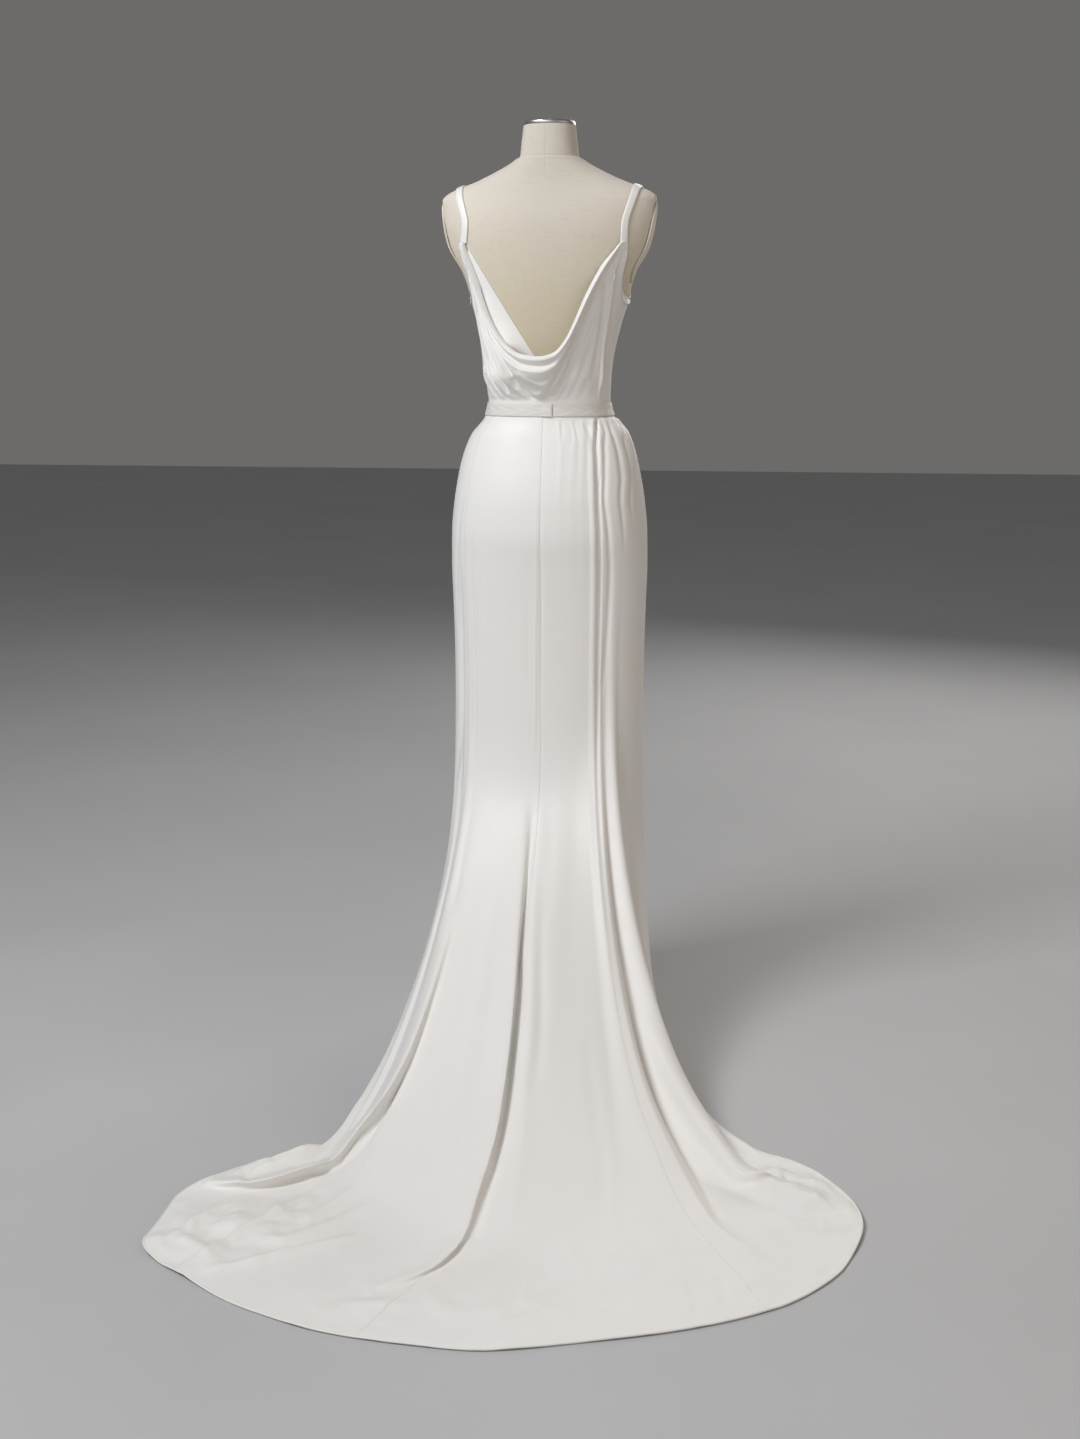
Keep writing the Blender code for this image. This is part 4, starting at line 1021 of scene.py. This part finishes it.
class Finish:
    """A procedural material: its shader and the nodes that feed it."""

    def __init__(self, name, colour, roughness, metallic=0.0):
        self.material = bpy.data.materials.new(name)
        self.material.use_nodes = True
        self.tree = self.material.node_tree
        self.shader = self.tree.nodes["Principled BSDF"]
        self.feed("Base Color", (*colour, 1))
        self.feed("Roughness", roughness)
        self.feed("Metallic", metallic)
        self.place = self.node("TexCoord").outputs["Object"]

    def put(self, socket, value):
        """Links the socket to another node's output, or sets its value."""
        if isinstance(value, bpy.types.NodeSocket):
            self.tree.links.new(value, socket)
        else:
            socket.default_value = value

    def feed(self, name, value):
        """Gives the shader's named input this value."""
        self.put(self.shader.inputs[name], value)

    def node(self, kind, *values, **named):
        """A node with its inputs given in their order or by name."""
        made = self.tree.nodes.new("ShaderNode" + kind)
        for socket, value in zip(made.inputs, values):
            self.put(socket, value)
        for name, value in named.items():
            self.put(made.inputs[name], value)
        return made

    def noise(self, scale, detail=2.0, stretch=(1, 1, 1)):
        """Noise of features one part in scale of a metre, drawn out along the axes by the stretch."""
        moved = self.node("Mapping", Vector=self.place, Scale=tuple(scale * share for share in stretch))
        made = self.node("TexNoise", Vector=moved.outputs[0], Scale=1.0, Detail=detail)
        return made.outputs["Fac"]

    def ramp(self, value, low, high, to_low, to_high):
        """The value moved from one range to another."""
        return self.node("MapRange", value, low, high, to_low, to_high).outputs[0]

    def reckon(self, operation, first, second=0.0):
        """One operation on one value or two."""
        made = self.node("Math", first, second)
        made.operation = operation
        return made.outputs[0]

    def add(self, first, second):
        """The sum of two values."""
        return self.reckon("ADD", first, second)

    def times(self, first, second):
        """The product of two values."""
        return self.reckon("MULTIPLY", first, second)

    def axes(self):
        """How far along each axis the surface's point lies."""
        return self.node("SeparateXYZ", self.place).outputs

    def blend(self, share, first, second):
        """The colour between two colours."""
        made = self.tree.nodes.new("ShaderNodeMix")
        made.data_type = "RGBA"
        self.put(made.inputs["Factor"], share)
        for socket, value in zip(made.inputs[6:8], (first, second)):
            self.put(socket, (*value, 1) if isinstance(value, tuple) else value)
        return made.outputs[2]

    def bump(self, height, distance, strength):
        """The height drawn as relief on the shader."""
        self.feed("Normal", self.node("Bump", Height=height, Strength=strength, Distance=distance).outputs[0])


def cloth_material(name, light, warm, low, high, ribs=False):
    """Crepe with a satin sheen: pebbled grain, faint threads and slow changes of colour."""
    cloth = Finish(name, light, 0.45)
    colour = cloth.blend(cloth.ramp(cloth.noise(5.0, 3.0), 0.35, 0.70, 0.0, 0.55), light, warm)
    height = cloth.axes()["Z"]
    # Greyer in patches where the cloth lies within 12 mm of the floor
    floor_greying = cloth.times(cloth.ramp(height, 0.012, 0.0, 0.0, 0.22), cloth.noise(30.0))
    cloth.feed("Base Color", cloth.blend(floor_greying, colour, FLOOR_GREY))
    threads = cloth.noise(1400.0, 1.0, (1.0, 1.0, 0.12))
    cloth.feed("Roughness", cloth.ramp(cloth.add(cloth.noise(60.0), threads), 0.7, 1.4, low, high))
    relief = cloth.add(cloth.noise(1900.0), cloth.times(threads, 0.8))
    if ribs:
        wave = cloth.reckon("SINE", cloth.times(height, math.tau / RIB_PITCH))
        relief = cloth.add(relief, cloth.times(wave, 0.9))
    cloth.bump(relief, 0.00022, 0.8)
    cloth.feed("Sheen Weight", 0.22)
    cloth.feed("Sheen Roughness", 0.35)
    cloth.feed("Sheen Tint", (1.0, 0.98, 0.95, 1))
    cloth.feed("Specular IOR Level", 0.45)
    return cloth.material


def linen_material():
    """Cream linen stretched over the form: crossed threads with thick places, and painted warm shade low on the
    back.
    """
    linen = Finish("form linen", (0.74, 0.66, 0.54), 0.85)
    x, y, z = linen.axes()
    upright = linen.reckon("SINE", linen.times(linen.reckon("ARCTAN2", x, y), 1100.0))
    level = linen.reckon("SINE", linen.times(z, math.tau / THREAD_PITCH))
    thick = linen.add(linen.noise(700.0, 2.0, (1.0, 1.0, 0.06)), linen.noise(700.0, 2.0, (0.06, 0.06, 1.0)))
    patches = linen.ramp(linen.noise(9.0, 3.0), 0.3, 0.7, -0.08, 0.12)
    # Painted warm shade that deepens down the back from 1.46 m to 1.22 m, mixed with random patches of tone
    painted_shade_and_tone = linen.add(linen.ramp(z, 1.46, 1.22, 0.0, 0.85), patches)
    colour = linen.blend(painted_shade_and_tone, (0.80, 0.74, 0.66), (0.76, 0.66, 0.47))
    flecks = linen.ramp(thick, 1.05, 1.35, 0.0, 0.35)
    linen.feed("Base Color", linen.blend(flecks, colour, (0.60, 0.50, 0.36)))
    linen.bump(linen.add(linen.times(upright, level), linen.times(thick, 1.6)), 0.00018, 0.8)
    linen.feed("Sheen Weight", 0.15)
    return linen.material


def metal_material():
    """Brushed steel: fine lines round it, and duller patches where it is handled."""
    metal = Finish("form metal", (0.52, 0.52, 0.53), 0.35, 1.0)
    lines = metal.noise(900.0, 2.0, (0.08, 0.08, 1.0))
    patches = metal.noise(35.0, 3.0)
    metal.feed("Roughness", metal.ramp(metal.add(lines, patches), 0.7, 1.3, 0.26, 0.48))
    metal.feed("Base Color", metal.blend(patches, (0.60, 0.60, 0.61), (0.40, 0.39, 0.38)))
    metal.bump(lines, 0.00006, 0.6)
    return metal.material


def paint_material():
    """Black powder paint: a fine orange-peel face, with the rim worn paler."""
    paint = Finish("stand paint", (0.05, 0.05, 0.055), 0.45)
    x, y, _ = paint.axes()
    reach = paint.reckon("SQRT", paint.add(paint.reckon("POWER", x, 2.0), paint.reckon("POWER", y, 2.0)))
    worn = paint.ramp(reach, BASE_RADIUS - 0.004, BASE_RADIUS, 0.0, 1.0)
    scuffs = paint.times(worn, paint.ramp(paint.noise(90.0, 4.0), 0.52, 0.66, 0.0, 0.8))
    paint.feed("Base Color", paint.blend(scuffs, (0.045, 0.045, 0.05), (0.30, 0.29, 0.28)))
    peel = paint.noise(500.0)
    paint.feed("Roughness", paint.ramp(peel, 0.3, 0.7, 0.36, 0.56))
    paint.bump(peel, 0.0001, 0.5)
    return paint.material


def build_camera():
    """The camera of the photograph."""
    turn = math.radians(CAMERA_TURN)
    back = np.array((-math.sin(turn), math.cos(turn)))
    right = np.array((-math.cos(turn), -math.sin(turn)))
    data = bpy.data.cameras.new("camera")
    data.lens = CAMERA_LENS
    data.sensor_width = 36
    data.sensor_fit = "AUTO"
    data.shift_y = CAMERA_SHIFT
    camera = bpy.data.objects.new("camera", data)
    bpy.context.collection.objects.link(camera)
    camera.location = (*(back * CAMERA_AWAY + right * CAMERA_ASIDE), CAMERA_HEIGHT)
    camera.rotation_euler = (math.radians(90 - CAMERA_PITCH), 0, math.radians(180 + CAMERA_TURN))
    bpy.context.scene.camera = camera


def add_light(name, place, aim, size, power, colour):
    """A soft panel of light at a place, turned to its aim."""
    data = bpy.data.lights.new(name, "AREA")
    data.shape = "RECTANGLE"
    data.size, data.size_y = size
    data.energy = power
    data.color = colour
    lamp = bpy.data.objects.new(name, data)
    bpy.context.collection.objects.link(lamp)
    lamp.location = place
    x, y, z = np.array(aim) - np.array(place)
    lamp.rotation_euler = (math.atan2(math.hypot(x, y), -z), 0, math.atan2(-x, y))


def build_stage():
    """A plain pale floor and soft lights: the key high at the camera's left, a weak fill at its right."""
    ground = Finish("studio floor", (0.50, 0.50, 0.51), 0.65)
    ground.feed("Base Color", ground.blend(ground.noise(1.6, 4.0), (0.47, 0.47, 0.48), (0.54, 0.54, 0.55)))
    corners = [(x * FLOOR_HALF, y * FLOOR_HALF, 0) for x, y in ((-1, -1), (1, -1), (1, 1), (-1, 1))]
    new_object("floor", corners, [(0, 1, 2, 3)], ground.material)
    world = bpy.data.worlds.new("studio")
    world.use_nodes = True
    world.node_tree.nodes["Background"].inputs["Color"].default_value = (0.50, 0.49, 0.48, 1)
    world.node_tree.nodes["Background"].inputs["Strength"].default_value = 0.30
    bpy.context.scene.world = world
    bpy.context.scene.view_settings.view_transform = "Standard"
    add_light("key", (1.7, 1.9, 3.3), (0, 0.3, 0.6), (1.2, 1.2), 80, (0.97, 0.985, 1.0))
    add_light("front", (0.9, 4.4, 2.6), (0, 0.2, 0.6), (2.6, 2.0), 40, (0.99, 0.99, 1.0))
    add_light("fill", (-3.2, 1.6, 1.7), (0, 0.2, 0.7), (2.2, 2.2), 20, (1.0, 0.84, 0.66))
    add_light("rim", (-1.2, -3.2, 2.4), (0, 0, 0.9), (2.2, 2.2), 45, (1.0, 0.98, 0.95))


def main():
    """The camera, the stage, the form and the gown."""
    build_camera()
    crepe = cloth_material("ivory crepe", (0.87, 0.858, 0.84), (0.85, 0.822, 0.78), 0.34, 0.56)
    satin = cloth_material("ivory satin", (0.88, 0.872, 0.855), (0.86, 0.835, 0.79), 0.24, 0.40)
    ribbed = cloth_material("ribbed satin", (0.85, 0.825, 0.79), (0.82, 0.78, 0.72), 0.32, 0.50, ribs=True)
    torso = build_form(linen_material(), metal_material(), paint_material())
    build_stage()
    build_bodice(crepe)
    build_facing(satin)
    build_waistband(ribbed)
    build_straps(torso, satin)
    build_skirt(crepe)


main()
